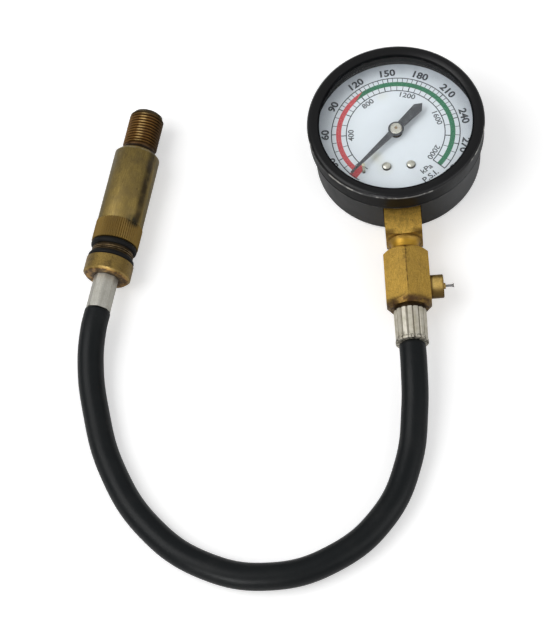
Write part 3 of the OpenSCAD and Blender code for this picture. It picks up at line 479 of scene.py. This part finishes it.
def write(bm, words, height, weight, place):
    """Letters of that height, stroked wider by weight, laid on the dial at a place."""
    letters = bpy.data.curves.new("figure", "FONT")
    letters.body = words
    letters.align_x = "CENTER"
    letters.align_y = "CENTER"
    letters.size = height / cap_share
    letters.offset = weight
    letters.resolution_u = 4
    letters.extrude = ink_t / 2
    shape = bpy.data.objects.new("figure", letters)
    bpy.context.scene.collection.objects.link(shape)
    flat = bpy.data.meshes.new_from_object(shape.evaluated_get(bpy.context.evaluated_depsgraph_get()))
    bpy.data.objects.remove(shape)
    flat.transform(place @ Matrix.Diagonal((figure_stretch, 1, 1, 1)))
    bm.from_mesh(flat)
    bpy.data.meshes.remove(flat)


def round_dial(distance, degrees):
    """Place for figures whose tops point outwards."""
    turn = Matrix.Rotation(math.radians(degrees), 4, "Z")
    return turn @ Matrix.Translation((distance, 0, ink_mid)) @ Matrix.Rotation(-math.pi / 2, 4, "Z")


def unit_place(x, y):
    """Place for the name of a scale's unit, on a slant."""
    return Matrix.Translation((x * mm, y * mm, ink_mid)) @ unit_turn


figures = bmesh.new()
for value in range(tick_step, full_scale + 1, tick_step):
    write(figures, str(value), figure_h, figure_weight, round_dial(figure_r, value_angle(value)))
write(figures, "P.S.I.", 2.3 * mm, unit_weight, unit_place(12.1, -20.6))
piece(figures, "dial_figures", black_ink, "gauge", on_dial)
small_figures = bmesh.new()
for kilo in range(kilo_figures, full_kilo + 1, kilo_figures):
    place = round_dial(small_r, value_angle(kilo * small_unit))
    write(small_figures, str(kilo), small_h, small_weight, place)
write(small_figures, "kPa", 2.2 * mm, unit_weight, unit_place(10.8, -17.3))
piece(small_figures, "dial_small_figures", grey_ink, "gauge", on_dial)

# Dial screws, stop pin, pointer and hub
# Domed nickel screws, a pale pin riveted in the dial, and a blade stamped from thin sheet and
# painted charcoal. Its turned nickel hub is pressed on the brown end of the arbor.
foot_shade = (0.04, 0.037, 0.03, 1)


def plated(name, colour, stained, roughness, stain_size, amount):
    """Plated or plain metal with cloudy stains and fine handling marks."""
    made, tree, shader, place = finish(name, {"Metallic": 1.0})
    stain = patchy(tree, place, stain_size, 1 - amount, 1.2 - amount)
    marks = patchy(tree, place, 0.35 * mm, 0.3, 0.7)
    tree.links.new(tint(tree, stain, colour, stained), shader.inputs["Base Color"])
    tree.links.new(level(tree, marks, roughness - 0.05, roughness + 0.1), shader.inputs["Roughness"])
    ridged(tree, shader, marks, 0.002 * mm)
    return made


nickel = plated("nickel_plate", (0.52, 0.505, 0.45, 1), (0.28, 0.25, 0.18, 1), 0.3, 1.2 * mm, 0.45)
dress(nickel, "pointer_hub", "pillar_screws", "movement_screws")


def footed(name, bright, stained, low, high):
    """Plated metal darkened at its foot with painted shade, between two heights above the dial."""
    made, tree, shader, place = finish(name, {"Metallic": 1.0, "Roughness": 0.3})
    # Painted shade: darker towards the foot, where it stands on the dial.
    foot = ramp(tree, split(tree, place)["Z"], dial_high.z + low, dial_high.z + high)
    plate = tint(tree, patchy(tree, place, 0.8 * mm, 0.4, 0.7), bright, stained)
    tree.links.new(tint(tree, foot, foot_shade, plate), shader.inputs["Base Color"])
    ridged(tree, shader, patchy(tree, place, 0.3 * mm, 0.3, 0.7), 0.002 * mm)
    return made


screw_nickel = footed("screw_nickel", (0.55, 0.53, 0.46, 1), (0.38, 0.36, 0.3, 1), 0.4 * mm, 0.85 * mm)
dress(screw_nickel, "dial_screws")
pale_steel = footed("pale_steel", (0.66, 0.65, 0.5, 1), (0.4, 0.39, 0.28, 1), 0.0, 3.0 * mm)
dress(pale_steel, "stop_pin")
brown_steel = plated("brown_steel", (0.30, 0.22, 0.14, 1), (0.13, 0.08, 0.045, 1), 0.42, 0.8 * mm, 0.55)
dress(brown_steel, "pinion_arbor")

charcoal, charcoal_rubbed = (0.027, 0.029, 0.034, 1), (0.068, 0.072, 0.078, 1)
made, tree, shader, place = finish("pointer_paint", {"Specular IOR Level": 0.4})
rubbed_and_highlight = patchy(tree, place, 2.2 * mm, 0.45, 0.75)
tree.links.new(tint(tree, rubbed_and_highlight, charcoal, charcoal_rubbed), shader.inputs["Base Color"])
tree.links.new(level(tree, rubbed_and_highlight, 0.42, 0.6), shader.inputs["Roughness"])
ridged(tree, shader, patchy(tree, place, 0.3 * mm, 0.2, 0.8), 0.01 * mm)
dress(made, "pointer")

# Movement
# The pressure tube, sector, link, plates and pillars are plain brass, and the pivots, hairspring
# and screws are steel. They are shut in behind the dial, and the upper plate is coloured near black
# as painted shade, where it shows through the middle of the dial.
gauge_axis = (0, 0, 0), (0, 0, 0)


def on_axis(tree, place, axis):
    """Coordinates whose Z runs along a piece's own axis, given as its place and turn."""
    location, turn = axis
    values = {"Vector": place, "Location": location, "Rotation": turn}
    return node(tree, "Mapping", values, vector_type="TEXTURE").outputs["Vector"]


def worn_metal(name, clean, dull, dark, axis, streak, polish=0.36):
    """Worked metal with brushed streaks along its axis, dull patches and dark spots."""
    made, tree, shader, place = finish(name, {"Metallic": 1.0})
    local = on_axis(tree, place, axis)
    drawn = node(tree, "VectorMath", {0: local, 1: streak}, operation="MULTIPLY").outputs["Vector"]
    streaks = patchy(tree, drawn, 0.5 * mm, 0.3, 0.72)
    clouds = patchy(tree, local, 5 * mm, 0.38, 0.72)
    spots = patchy(tree, local, 1.1 * mm, 0.6, 0.72)
    grain = patchy(tree, drawn, 0.28 * mm, 0.4, 0.62)
    mottle = patchy(tree, local, 0.45 * mm, 0.38, 0.62)
    colour = tint(tree, clouds, clean, dull)
    colour = tint(tree, times(tree, mottle, 0.24), colour, dark)
    colour = tint(tree, times(tree, streaks, 0.55), colour, dull)
    colour = tint(tree, times(tree, grain, 0.22), colour, dark)
    colour = tint(tree, times(tree, spots, level(tree, clouds, 0.25, 0.9)), colour, dark)
    tree.links.new(level(tree, clouds, 0.92, 0.7), shader.inputs["Metallic"])
    tree.links.new(level(tree, streaks, polish, polish + 0.16), shader.inputs["Roughness"])
    ridged(tree, shader, streaks, 0.006 * mm)
    tree.links.new(colour, shader.inputs["Base Color"])
    return made, tree, shader, local, colour


def stain_metal(tree, shader, colour, *stains):
    """Lays stains, each a mask and its colour, over a metal in turn."""
    for mask, stain in stains:
        colour = tint(tree, mask, colour, stain)
    tree.links.new(colour, shader.inputs["Base Color"])


movement_brass = worn_metal(
    "movement_brass", (0.58, 0.40, 0.14, 1), (0.42, 0.28, 0.08, 1), (0.16, 0.09, 0.03, 1),
    gauge_axis, (1, 1, 0.2),
)[0]
dress(
    movement_brass, "hairspring_collet", "hairspring_stud", "sector_gear", "link", "tube_tip",
    "bourdon_tube", "movement_bottom_plate", "movement_pillars", "valve_core", "check_core",
)
# Painted shade: the upper plate is near black where it shows through the hole in the dial.
shaded_plate_brass = worn_metal(
    "shaded_plate_brass", (0.045, 0.03, 0.014, 1), (0.03, 0.02, 0.009, 1), (0.012, 0.008, 0.004, 1),
    gauge_axis, (1, 1, 1), 0.5,
)[0]
dress(shaded_plate_brass, "movement_top_plate")
steel = plated("plain_steel", (0.25, 0.25, 0.255, 1), (0.12, 0.11, 0.095, 1), 0.32, 1.5 * mm, 0.42)
dress(
    steel, "hairspring", "sector_arbor", "link_screw", "tip_pin", "case_screws", "valve_pin",
    "valve_spring", "check_pin", "check_spring",
)

# Stem
# A square bar of brass, milled along its length, with a turned neck that screws into the hexagon.
# Its faces are brushed and dulled brown, and the neck, which hands rarely touch, is a deeper gold.
ferrule_low, ferrule_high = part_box("near_ferrule")
stem_z = (ferrule_low.z + ferrule_high.z) / 2
stem_axis = (0, 0, stem_z), (math.radians(90), 0, 0)
square_end = 43.8 * mm
hexagon_low, hexagon_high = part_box("valve_body")
neck_end = -hexagon_high.y
golden_dark = (0.10, 0.058, 0.016, 1)
stem_stain = (0.25, 0.165, 0.04, 1)
neck_gold = (0.44, 0.25, 0.027, 1)
neck_shade = (0.13, 0.07, 0.014, 1)
near_black_brown = (0.02, 0.012, 0.006, 1)
made, tree, shader, local, colour = worn_metal(
    "stem_brass", (0.86, 0.54, 0.113, 1), (0.6, 0.36, 0.064, 1), golden_dark, stem_axis, (1, 1, 0.12)
)
spot = turned(tree, local)
grit = patchy(tree, local, 0.5 * mm, 0.56, 0.68)
smudges = patchy(tree, local, 2.4 * mm, 0.45, 0.66)
# Painted shade: the cone's corners beside the neck and a line at the square's end are darkened, and a
# painted shadow lies on the neck next to the hexagon.
corners = ramp(tree, spot["Radius"], 7.2 * mm, 8.4 * mm)
corners = times(tree, corners, ramp(tree, spot["Along"], square_end - 2.8 * mm, square_end - 1.2 * mm))
neck = ramp(tree, spot["Along"], square_end - 0.3 * mm, square_end + 0.1 * mm)
polished = ramp(tree, spot["Along"], square_end + 0.3 * mm, square_end + 2.2 * mm)
hexagon_shadow = ramp(tree, spot["Along"], neck_end - 1.1 * mm, neck_end - 0.4 * mm)
stain_metal(
    tree, shader, colour,
    (times(tree, grit, 0.7), golden_dark), (times(tree, smudges, 0.5), stem_stain),
    (times(tree, corners, 0.75), neck_shade), (times(tree, neck, 0.6), neck_shade),
    (polished, neck_gold), (times(tree, hexagon_shadow, 0.9), near_black_brown),
)
dress(made, "socket")

# Release valve body
# A hexagon bar of brass, turned at both ends and screwed on the neck. Its top corner has a dark
# line of dirt and its lower bevel is tarnished brown.
hexagon_end = -hexagon_low.y
top_corner = math.pi / 2
bevel_brown = (0.06, 0.03, 0.01, 1)


def apart(tree, value, target):
    """How far a value is from a target, either way."""
    return sums(tree, "ABSOLUTE", sums(tree, "SUBTRACT", value, target))


made, tree, shader, local, colour = worn_metal(
    "hexagon_brass", (0.62, 0.39, 0.08, 1), (0.46, 0.28, 0.052, 1), golden_dark, stem_axis, (1, 1, 0.15)
)
spot = turned(tree, local)
grit = patchy(tree, local, 0.5 * mm, 0.55, 0.68)
blotches = patchy(tree, local, 2.2 * mm, 0.3, 0.65)
from_corner = apart(tree, spot["Angle"], top_corner)
corner = times(tree, ramp(tree, from_corner, 0.04, 0.005), level(tree, blotches, 0.25, 0.85))
smudge = times(tree, ramp(tree, from_corner, 0.24, 0.02), patchy(tree, local, 1.4 * mm, 0.45, 0.62))
smudge = times(tree, smudge, ramp(tree, spot["Along"], neck_end + 11 * mm, neck_end + 5 * mm))
low_end = ramp(tree, spot["Along"], hexagon_end - 3.0 * mm, hexagon_end - 1.2 * mm)
stain_metal(
    tree, shader, colour,
    (times(tree, grit, 0.45), golden_dark), (corner, golden_dark),
    (times(tree, smudge, 0.55), golden_dark),
    (times(tree, low_end, level(tree, blotches, 0.7, 1.0)), bevel_brown),
)
dress(made, "valve_body")

# Release valve stem
# A round brass boss screwed into the hexagon's side, turned bright and gone dark at its joint and
# its rim. Its flanks carry painted shade, leaving a painted highlight down its middle. It holds the
# valve core and its steel pin, which lets the pressure out when pressed.
boss_low, boss_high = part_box("valve_stem")
boss_y = (boss_low.y + boss_high.y) / 2
boss_axis = (0, boss_y + 0.4 * mm, 0), (0, 0, 0)
hexagon_side = hexagon_high.x
made, tree, shader, local, colour = worn_metal(
    "boss_brass", (0.74, 0.52, 0.17, 1), (0.55, 0.36, 0.09, 1), golden_dark, boss_axis, (1, 0.2, 1), 0.3
)
spot = split(tree, local)
# Painted shade: the flanks are darkened, leaving a painted highlight down the middle. boss_axis sits 0.4
# mm off centre to place it.
shaded_flanks = ramp(tree, sums(tree, "ABSOLUTE", spot["Y"]), 1.7 * mm, 4 * mm)
joint = ramp(tree, spot["X"], hexagon_side + 1.2 * mm, hexagon_side + 0.3 * mm)
rim = ramp(tree, spot["X"], boss_high.x - 0.9 * mm, boss_high.x - 0.3 * mm)
stain_metal(
    tree, shader, colour,
    (times(tree, shaded_flanks, 0.9), golden_dark), (times(tree, joint, 0.9), golden_dark),
    (times(tree, rim, 0.6), golden_dark),
)
dress(made, "valve_stem")

# Hose nipple
# A turned brass nipple screwed into the hexagon, with barbs that hold the hose. Only its collar
# shows, as a ring black with old grease.
nipple_brass = worn_metal(
    "nipple_brass", (0.05, 0.03, 0.012, 1), (0.026, 0.016, 0.008, 1), (0.01, 0.007, 0.004, 1),
    stem_axis, (1, 1, 1), 0.5,
)[0]
dress(nipple_brass, "hose_nipple")

# Near ferrule
# A steel sleeve in warm nickel plate, crimped in flutes round the hose. The plate is flaked at
# its hose end.
flute_count = 16
flute_dark, flake_dark = (0.10, 0.085, 0.06, 1), (0.05, 0.042, 0.032, 1)
made, tree, shader, place = finish("ferrule_nickel", {"Metallic": 1.0})
local = on_axis(tree, place, stem_axis)
spot = turned(tree, local)
clouds = patchy(tree, local, 3 * mm, 0.35, 0.7)
mouth = ramp(tree, spot["Along"], -ferrule_low.y - 3.5 * mm, -ferrule_low.y)
flakes = times(tree, mouth, patchy(tree, local, 1.3 * mm, 0.53, 0.6))
wave = sums(tree, "COSINE", times(tree, spot["Angle"], flute_count))
groove = ramp(tree, wave, -0.55, -0.95)
colour = tint(tree, clouds, (0.60, 0.57, 0.495, 1), (0.48, 0.45, 0.365, 1))
# Darker in the flutes.
stain_metal(tree, shader, colour, (times(tree, groove, 0.7), flute_dark), (flakes, flake_dark))
tree.links.new(level(tree, clouds, 0.54, 0.66), shader.inputs["Roughness"])
ridged(tree, shader, patchy(tree, local, 0.6 * mm, 0.25, 0.75), 0.004 * mm)
dress(made, "near_ferrule")

# Hose
# A length of black rubber pressure hose with a cloth ply inside, crimped in a ferrule at each
# end. It leaves the gauge along the stem, sinks to the bench and comes back in a wide loop.
hose_d, hose_length = 10 * mm, 0.285
near_squeeze, far_squeeze = 0.82, 0.79
straight = 8 * mm
step_out = 0.8 * mm
sink = Vector((0, 0, 0.4 * mm))
far_lean = math.radians(13)
far_dir = Vector((math.sin(far_lean), math.cos(far_lean), 0))
far_face = Vector((-116, -48.5, 9.3)) * mm
far_ferrule_len = 13.8 * mm
far_mouth = far_face - far_dir * far_ferrule_len
near_dir = Vector((0, 1, 0))
near_mouth = Vector((0, ferrule_low.y, stem_z))
near_face = Vector((0, ferrule_high.y, stem_z))
loop = [
    (-1, -112, 8.1), (-4.6, -131, 5.7), (-15, -151, 5.1), (-34, -165.5, 5.1), (-57, -170.5, 5.1),
    (-80, -165, 5.1), (-100, -149.5, 5.1), (-114, -126, 5.1), (-120.5, -101, 5.5), (-122.2, -83, 7.1),
]
route = [
    (near_face, near_squeeze), (near_mouth, near_squeeze), (near_mouth - near_dir * step_out, 1),
    (near_mouth - near_dir * straight - sink, 1),
    *[(Vector(point) * mm, 1) for point in loop],
    (far_mouth - far_dir * straight - sink, 1), (far_mouth - far_dir * step_out, 1),
    (far_mouth, far_squeeze), (far_face, far_squeeze),
]
line = bpy.data.curves.new("rubber_hose", "CURVE")
line.dimensions = "3D"
line.bevel_depth = hose_d / 2
line.bevel_resolution = 10
line.resolution_u = 10
line.use_fill_caps = True
spline = line.splines.new("BEZIER")
spline.bezier_points.add(len(route) - 1)
for point, (place, share) in zip(spline.bezier_points, route):
    point.co = place
    point.radius = share
    point.handle_left_type = "AUTO"
    point.handle_right_type = "AUTO"
hose = bpy.data.objects.new("rubber_hose", line)
bpy.context.scene.collection.objects.link(hose)
hose_black, hose_scuffed = (0.0042, 0.0056, 0.0064, 1), (0.015, 0.0155, 0.0155, 1)
line.materials.append(black_rubber("hose_rubber", hose_black, hose_scuffed, 0.35, 0.9 * mm, 0.15))
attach(hose, "gauge")
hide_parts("hose")

# Far ferrule
# A plain steel sleeve in bright silver plate, squeezed to flats round the other end of the hose.
# It butts against the collar of the hose end.
far_axis = tuple(far_face), (math.radians(-90), 0, -far_lean)
ferrule_silver = worn_metal(
    "ferrule_silver", (0.55, 0.545, 0.50, 1), (0.43, 0.42, 0.37, 1), (0.2, 0.18, 0.14, 1),
    far_axis, (1, 1, 0.06),
)[0]
dress(ferrule_silver, "far_ferrule")

# Hose end
# A turned brass end with a collar, pushed in the hose. Two black rings sit on its shank, and
# between them the brown shank shows the fine lines of its thread.
olive = (0.32, 0.232, 0.07, 1)
olive_dull = (0.185, 0.132, 0.042, 1)
olive_dark = (0.045, 0.03, 0.013, 1)
rust_dark, rust_light = (0.07, 0.035, 0.012, 1), (0.42, 0.235, 0.07, 1)
rust_black = (0.035, 0.018, 0.008, 1)
highlight_gold = (0.62, 0.42, 0.16, 1)
collar_edge = (9.1 * mm, 0.3 * mm, 0.7 * mm)
shank_at = 6.5 * mm
made, tree, shader, local, colour = worn_metal(
    "collar_brass", (0.31, 0.212, 0.058, 1), (0.21, 0.138, 0.036, 1), olive_dark, far_axis, (1, 1, 0.5)
)
spot = turned(tree, local)
blotches = patchy(tree, local, 3 * mm, 0.42, 0.6)
grime = patchy(tree, local, 1.6 * mm, 0.55, 0.66)
rust = tint(tree, blotches, rust_dark, rust_light)
rust = tint(tree, ramp(tree, spot["Radius"], 6.6 * mm, 5.2 * mm), rust, rust_black)
end_face = ramp(tree, spot["Along"], 0.5 * mm, 0.05 * mm)
# Painted highlight: gold patches along the collar's outer edge.
edge_highlight = times(tree, along_edge(tree, local, collar_edge), level(tree, blotches, 0.1, 0.7))
shank = sums(tree, "GREATER_THAN", spot["Along"], shank_at)
stain_metal(
    tree, shader, colour,
    (times(tree, grime, 0.5), olive_dark), (times(tree, end_face, 0.85), rust), (edge_highlight, highlight_gold),
    (times(tree, shank, 0.9), near_black_brown),
)
dress(made, "hose_end")

on_far = Matrix.Translation(far_face) @ Matrix.Rotation(-far_lean, 4, "Z")
on_far = on_far @ Matrix.Rotation(-math.pi / 2, 4, "X")
shank_root, shank_crest, shank_pitch = 7.9 * mm, 8.25 * mm, 0.8 * mm
shank_from, shank_to = 9.3 * mm, 11.7 * mm
shank_gold = (0.26, 0.18, 0.09, 1)


def thread(bm, start, end, root, crest, pitch):
    """A helical ridge round the Z axis, fading in and out over a part of a turn at its ends."""
    steps, run_out, least = 48, 0.6, 0.02
    turns = (end - start) / pitch
    corners = [(root, -0.45), (crest, -0.08), (crest, 0.08), (root, 0.45)]
    face = bm.faces.new([bm.verts.new((r, 0, start + share * pitch)) for r, share in corners])
    before = set(bm.verts) - set(face.verts)
    bmesh.ops.spin(
        bm, geom=[face, *face.edges, *face.verts], axis=(0, 0, 1), dvec=(0, 0, pitch / steps),
        angle=2 * math.pi * turns, steps=round(turns * steps),
    )
    for v in bm.verts:
        distance = v.co.xy.length
        if v in before or distance < root + 1e-7:
            continue
        turn = (v.co.z - start) / pitch
        fade = max(least, min(1, turn / run_out, (turns - turn) / run_out))
        v.co.xy *= (root + (distance - root) * fade) / distance


shank_lines = bmesh.new()
thread(shank_lines, shank_from, shank_to, shank_root, shank_crest, shank_pitch)
made, tree, shader, local, colour = worn_metal(
    "shank_brass", (0.035, 0.022, 0.01, 1), (0.02, 0.013, 0.006, 1), (0.012, 0.008, 0.004, 1),
    far_axis, (1, 1, 1),
)
crests = ramp(tree, turned(tree, local)["Radius"], shank_root + 0.15 * mm, shank_crest)
crests = times(tree, crests, level(tree, patchy(tree, local, 3 * mm, 0.35, 0.6), 0.2, 0.9))
stain_metal(tree, shader, colour, (crests, shank_gold))
shank_thread = piece(shank_lines, "shank_thread", made, "gauge", on_far)

# Plug adapter
# A long turned brass body with a straight knurl and a 14 mm plug thread, screwed on the hose end.
# Hands and heat have turned it olive brown, with a coppery thread. Its lower half and the sides facing
# away from its top are darkened with painted shade, a dark band along one side is a painted reflection,
# its worn chamfer edge has a painted highlight, and its thread has a painted highlight along its crests
# and painted shade on one side.
knurl_end = 22.6 * mm
plain_start = knurl_end + 0.6 * mm
shade_from, shade_to = 48 * mm, 28 * mm
bevel_edge = (9 * mm, 54.25 * mm, 0.55 * mm)
relief_at = 55.4 * mm
cut_at = 56.2 * mm
reflection_at, upper_side = math.radians(-33), math.radians(-73)
blot_at = (6.4 * mm, -6.4 * mm, 23 * mm)
knurl_brown = (0.215, 0.127, 0.03, 1)
underside_shade_grey = (0.12, 0.108, 0.066, 1)
reflection_brown = (0.03, 0.02, 0.008, 1)
blot_black = (0.016, 0.017, 0.012, 1)
worn_and_lit_pale = (0.55, 0.52, 0.4, 1)
body = bmesh.new()
body.from_mesh(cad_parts["adapter"].data)
bmesh.ops.remove_doubles(body, verts=body.verts, dist=1e-6)
bmesh.ops.bisect_plane(
    body, geom=[*body.verts, *body.edges, *body.faces],
    plane_co=far_face + far_dir * cut_at, plane_no=far_dir, clear_outer=True,
)
bmesh.ops.bridge_loops(body, edges=[edge for edge in body.edges if edge.is_boundary])
made, tree, shader, local, colour = worn_metal(
    "adapter_brass", olive, olive_dull, olive_dark, far_axis, (1, 1, 0.12), 0.46
)
spot = turned(tree, local)
# Painted shade: the lower half of the body is tinted duller and darker.
low_half_shade = ramp(tree, spot["Along"], shade_from, shade_to)
knurl = ramp(tree, spot["Along"], plain_start, knurl_end)
# Painted shade: the sides that face away from the top are tinted darker and greyer.
facing = sums(tree, "COSINE", sums(tree, "SUBTRACT", spot["Angle"], upper_side))
under_shade = times(tree, ramp(tree, facing, 0.62, 0.4), ramp(tree, spot["Along"], knurl_end, plain_start))
# Painted reflection: a dark band along one side of the body, in patches.
dark_reflection = ramp(tree, apart(tree, spot["Angle"], reflection_at), 0.3, 0.06)
dark_reflection = times(tree, dark_reflection, ramp(tree, spot["Along"], knurl_end - 2.1 * mm, knurl_end - 0.1 * mm))
dark_reflection = times(tree, dark_reflection, level(tree, patchy(tree, local, 4 * mm, 0.35, 0.6), 0.6, 0.9))
blot = node(tree, "VectorMath", {0: local, 1: blot_at}, operation="DISTANCE").outputs["Value"]
blot = ramp(tree, blot, 3.6 * mm, 0.8 * mm)
blot = times(tree, blot, level(tree, patchy(tree, local, 1.5 * mm, 0.35, 0.6), 0.45, 1.0))
# Worn and painted highlight: the chamfer's edge is pale in patches.
rubbed_and_highlight = along_edge(tree, local, bevel_edge)
rubbed_and_highlight = times(tree, rubbed_and_highlight, level(tree, patchy(tree, local, 2.5 * mm, 0.35, 0.65), 0.15, 0.7))
# Darker in the relief groove below the thread.
relief_dark = sums(tree, "GREATER_THAN", spot["Along"], relief_at)
stain_metal(
    tree, shader, colour,
    (times(tree, low_half_shade, 0.35), olive_dull), (times(tree, knurl, 0.6), knurl_brown),
    (times(tree, under_shade, 0.5), underside_shade_grey), (dark_reflection, reflection_brown), (times(tree, blot, 0.9), blot_black),
    (rubbed_and_highlight, worn_and_lit_pale), (times(tree, relief_dark, 0.9), near_black_brown),
)
adapter_body = piece(body, "adapter_body", made, "gauge")
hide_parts("adapter")

passage, relief_r = 2 * mm, 5.9 * mm
core_root, core_crest, plug_pitch = 6.1 * mm, 6.87 * mm, 1.25 * mm
core_at, thread_at, tip_end = 57.8 * mm, 57.9 * mm, 73.7 * mm
highlight_at = math.radians(-87)
thread_root, thread_shade = (0.095, 0.048, 0.016, 1), (0.03, 0.017, 0.007, 1)
crest_highlight_gold, thread_oil = (0.6, 0.41, 0.16, 1), (0.035, 0.028, 0.012, 1)
core_profile = [
    (passage, cut_at), (relief_r, cut_at), (relief_r, core_at - 0.4 * mm), (core_root, core_at),
    (core_root, tip_end - 0.6 * mm), (core_root - 0.4 * mm, tip_end), (passage, tip_end),
]
plug = spun(core_profile, 64)
thread(plug, thread_at, tip_end - 0.8 * mm, core_root - 0.02 * mm, core_crest, plug_pitch)
made, tree, shader, local, colour = worn_metal(
    "thread_brass", (0.31, 0.162, 0.04, 1), (0.20, 0.098, 0.024, 1), (0.03, 0.016, 0.007, 1),
    far_axis, (1, 1, 1),
)
spot = turned(tree, local)
crests = ramp(tree, spot["Radius"], core_root + 0.15 * mm, core_crest - 0.05 * mm)
# Painted highlight: the crests are bright gold along one side, and thread_shade is painted shade on the
# other.
rubbed_and_highlight = times(tree, ramp(tree, apart(tree, spot["Angle"], highlight_at), 0.3, 0.05), crests)
rubbed_and_highlight = times(tree, rubbed_and_highlight, level(tree, patchy(tree, local, 1.5 * mm, 0.3, 0.65), 0.4, 1.0))
dark_side = ramp(tree, spot["Angle"], math.radians(-55), math.radians(-20))
oily_end = ramp(tree, spot["Along"], tip_end - 4.2 * mm, tip_end - 1.2 * mm)
stain_metal(
    tree, shader, tint(tree, crests, thread_root, colour),
    (rubbed_and_highlight, crest_highlight_gold), (times(tree, dark_side, 0.6), thread_shade),
    (times(tree, oily_end, 0.75), thread_oil),
    (ramp(tree, spot["Along"], thread_at, thread_at - 0.5 * mm), near_black_brown),
)
plug_thread = piece(plug, "plug_thread", made, "gauge", on_far)

# Studio
# A pale floor that runs out to white, under a large soft lamp on the left, two weaker ones on the
# right, and a low one in front that shows only as a sheen.
floor_half, floor_glow, paper_grey = 4, 0.4, (0.86, 0.86, 0.86, 1)
floor_mesh = bmesh.new()
bmesh.ops.create_grid(floor_mesh, x_segments=1, y_segments=1, size=floor_half)
floor_data = bpy.data.meshes.new("floor")
floor_mesh.to_mesh(floor_data)
floor_mesh.free()
floor = bpy.data.objects.new("floor", floor_data)
bpy.context.scene.collection.objects.link(floor)
made, tree, shader, place = finish(
    "floor_paper", {"Base Color": paper_grey, "Roughness": 0.9, "Emission Color": (1, 1, 1, 1)}
)


def seen_rays(tree):
    """The rays' kinds, and a mask of those that the camera sees, also through the window."""
    rays = node(tree, "LightPath").outputs
    return rays, sums(tree, "MAXIMUM", rays["Is Camera Ray"], rays["Is Transmission Ray"])


rays, seen = seen_rays(tree)
tree.links.new(times(tree, seen, floor_glow), shader.inputs["Emission Strength"])
floor_data.materials.append(made)

room_light, mirrored_low, mirrored_high = 0.4, 0.2, 0.72
sky_low, sky_high = 0.05, 0.5
world = bpy.data.worlds.new("studio")
bpy.context.scene.world = world
world.use_nodes = True
tree = world.node_tree
sky = tree.nodes["Background"]
rays, seen = seen_rays(tree)
height = split(tree, node(tree, "TexCoord").outputs["Generated"])["Z"]
sky_range = {"Value": height, "From Min": sky_low, "From Max": sky_high}
height = node(tree, "MapRange", sky_range).outputs["Result"]
mirrored = level(tree, height, mirrored_low, mirrored_high)
strength = node(tree, "Mix", {0: rays["Is Glossy Ray"], 2: room_light, 3: mirrored}).outputs[0]
strength = node(tree, "Mix", {0: seen, 2: strength, 3: 1.0}).outputs[0]
sky.inputs["Color"].default_value = (1, 1, 1, 1)
tree.links.new(strength, sky.inputs["Strength"])
lamp_aim = Vector((-0.05, -0.07, 0))


def lamp(name, place, size, power):
    """A square soft lamp at a place, turned to the middle of the object."""
    light = bpy.data.lights.new(name, "AREA")
    light.shape = "SQUARE"
    light.size = size
    light.energy = power
    made = bpy.data.objects.new(name, light)
    made.location = place
    made.rotation_euler = (lamp_aim - Vector(place)).to_track_quat("-Z", "Y").to_euler()
    bpy.context.scene.collection.objects.link(made)
    return made


lamp("key", place=(-0.75, -0.15, 0.95), size=0.9, power=8)
lamp("front", place=(0.75, -0.7, 0.7), size=0.9, power=2.5)
lamp("side", place=(0.95, -0.45, 0.3), size=0.6, power=1.6)
sheen = lamp("sheen", place=(-0.45, -0.95, 0.4), size=0.35, power=4)
sheen.visible_diffuse = False

# Camera
# It looks down at the dial from the hose's side, about 0.69 m away, with the picture turned a
# little.
right = Vector((0.9942, -0.0362, -0.1010))
upward = Vector((0.0756, 0.9041, 0.4206))
forward = Vector((-0.0761, 0.4258, -0.9016))
camera_at = (0.0, -0.34696, 0.59162)
camera = bpy.data.cameras.new("camera")
camera.sensor_width = 36
camera.lens = 95.97
view = bpy.data.objects.new("camera", camera)
turn = Matrix((right, upward, -forward)).transposed().to_4x4()
view.matrix_world = Matrix.Translation(camera_at) @ turn
bpy.context.scene.collection.objects.link(view)
bpy.context.scene.camera = view
bpy.context.scene.view_settings.view_transform = "Standard"

bpy.context.view_layer.update()
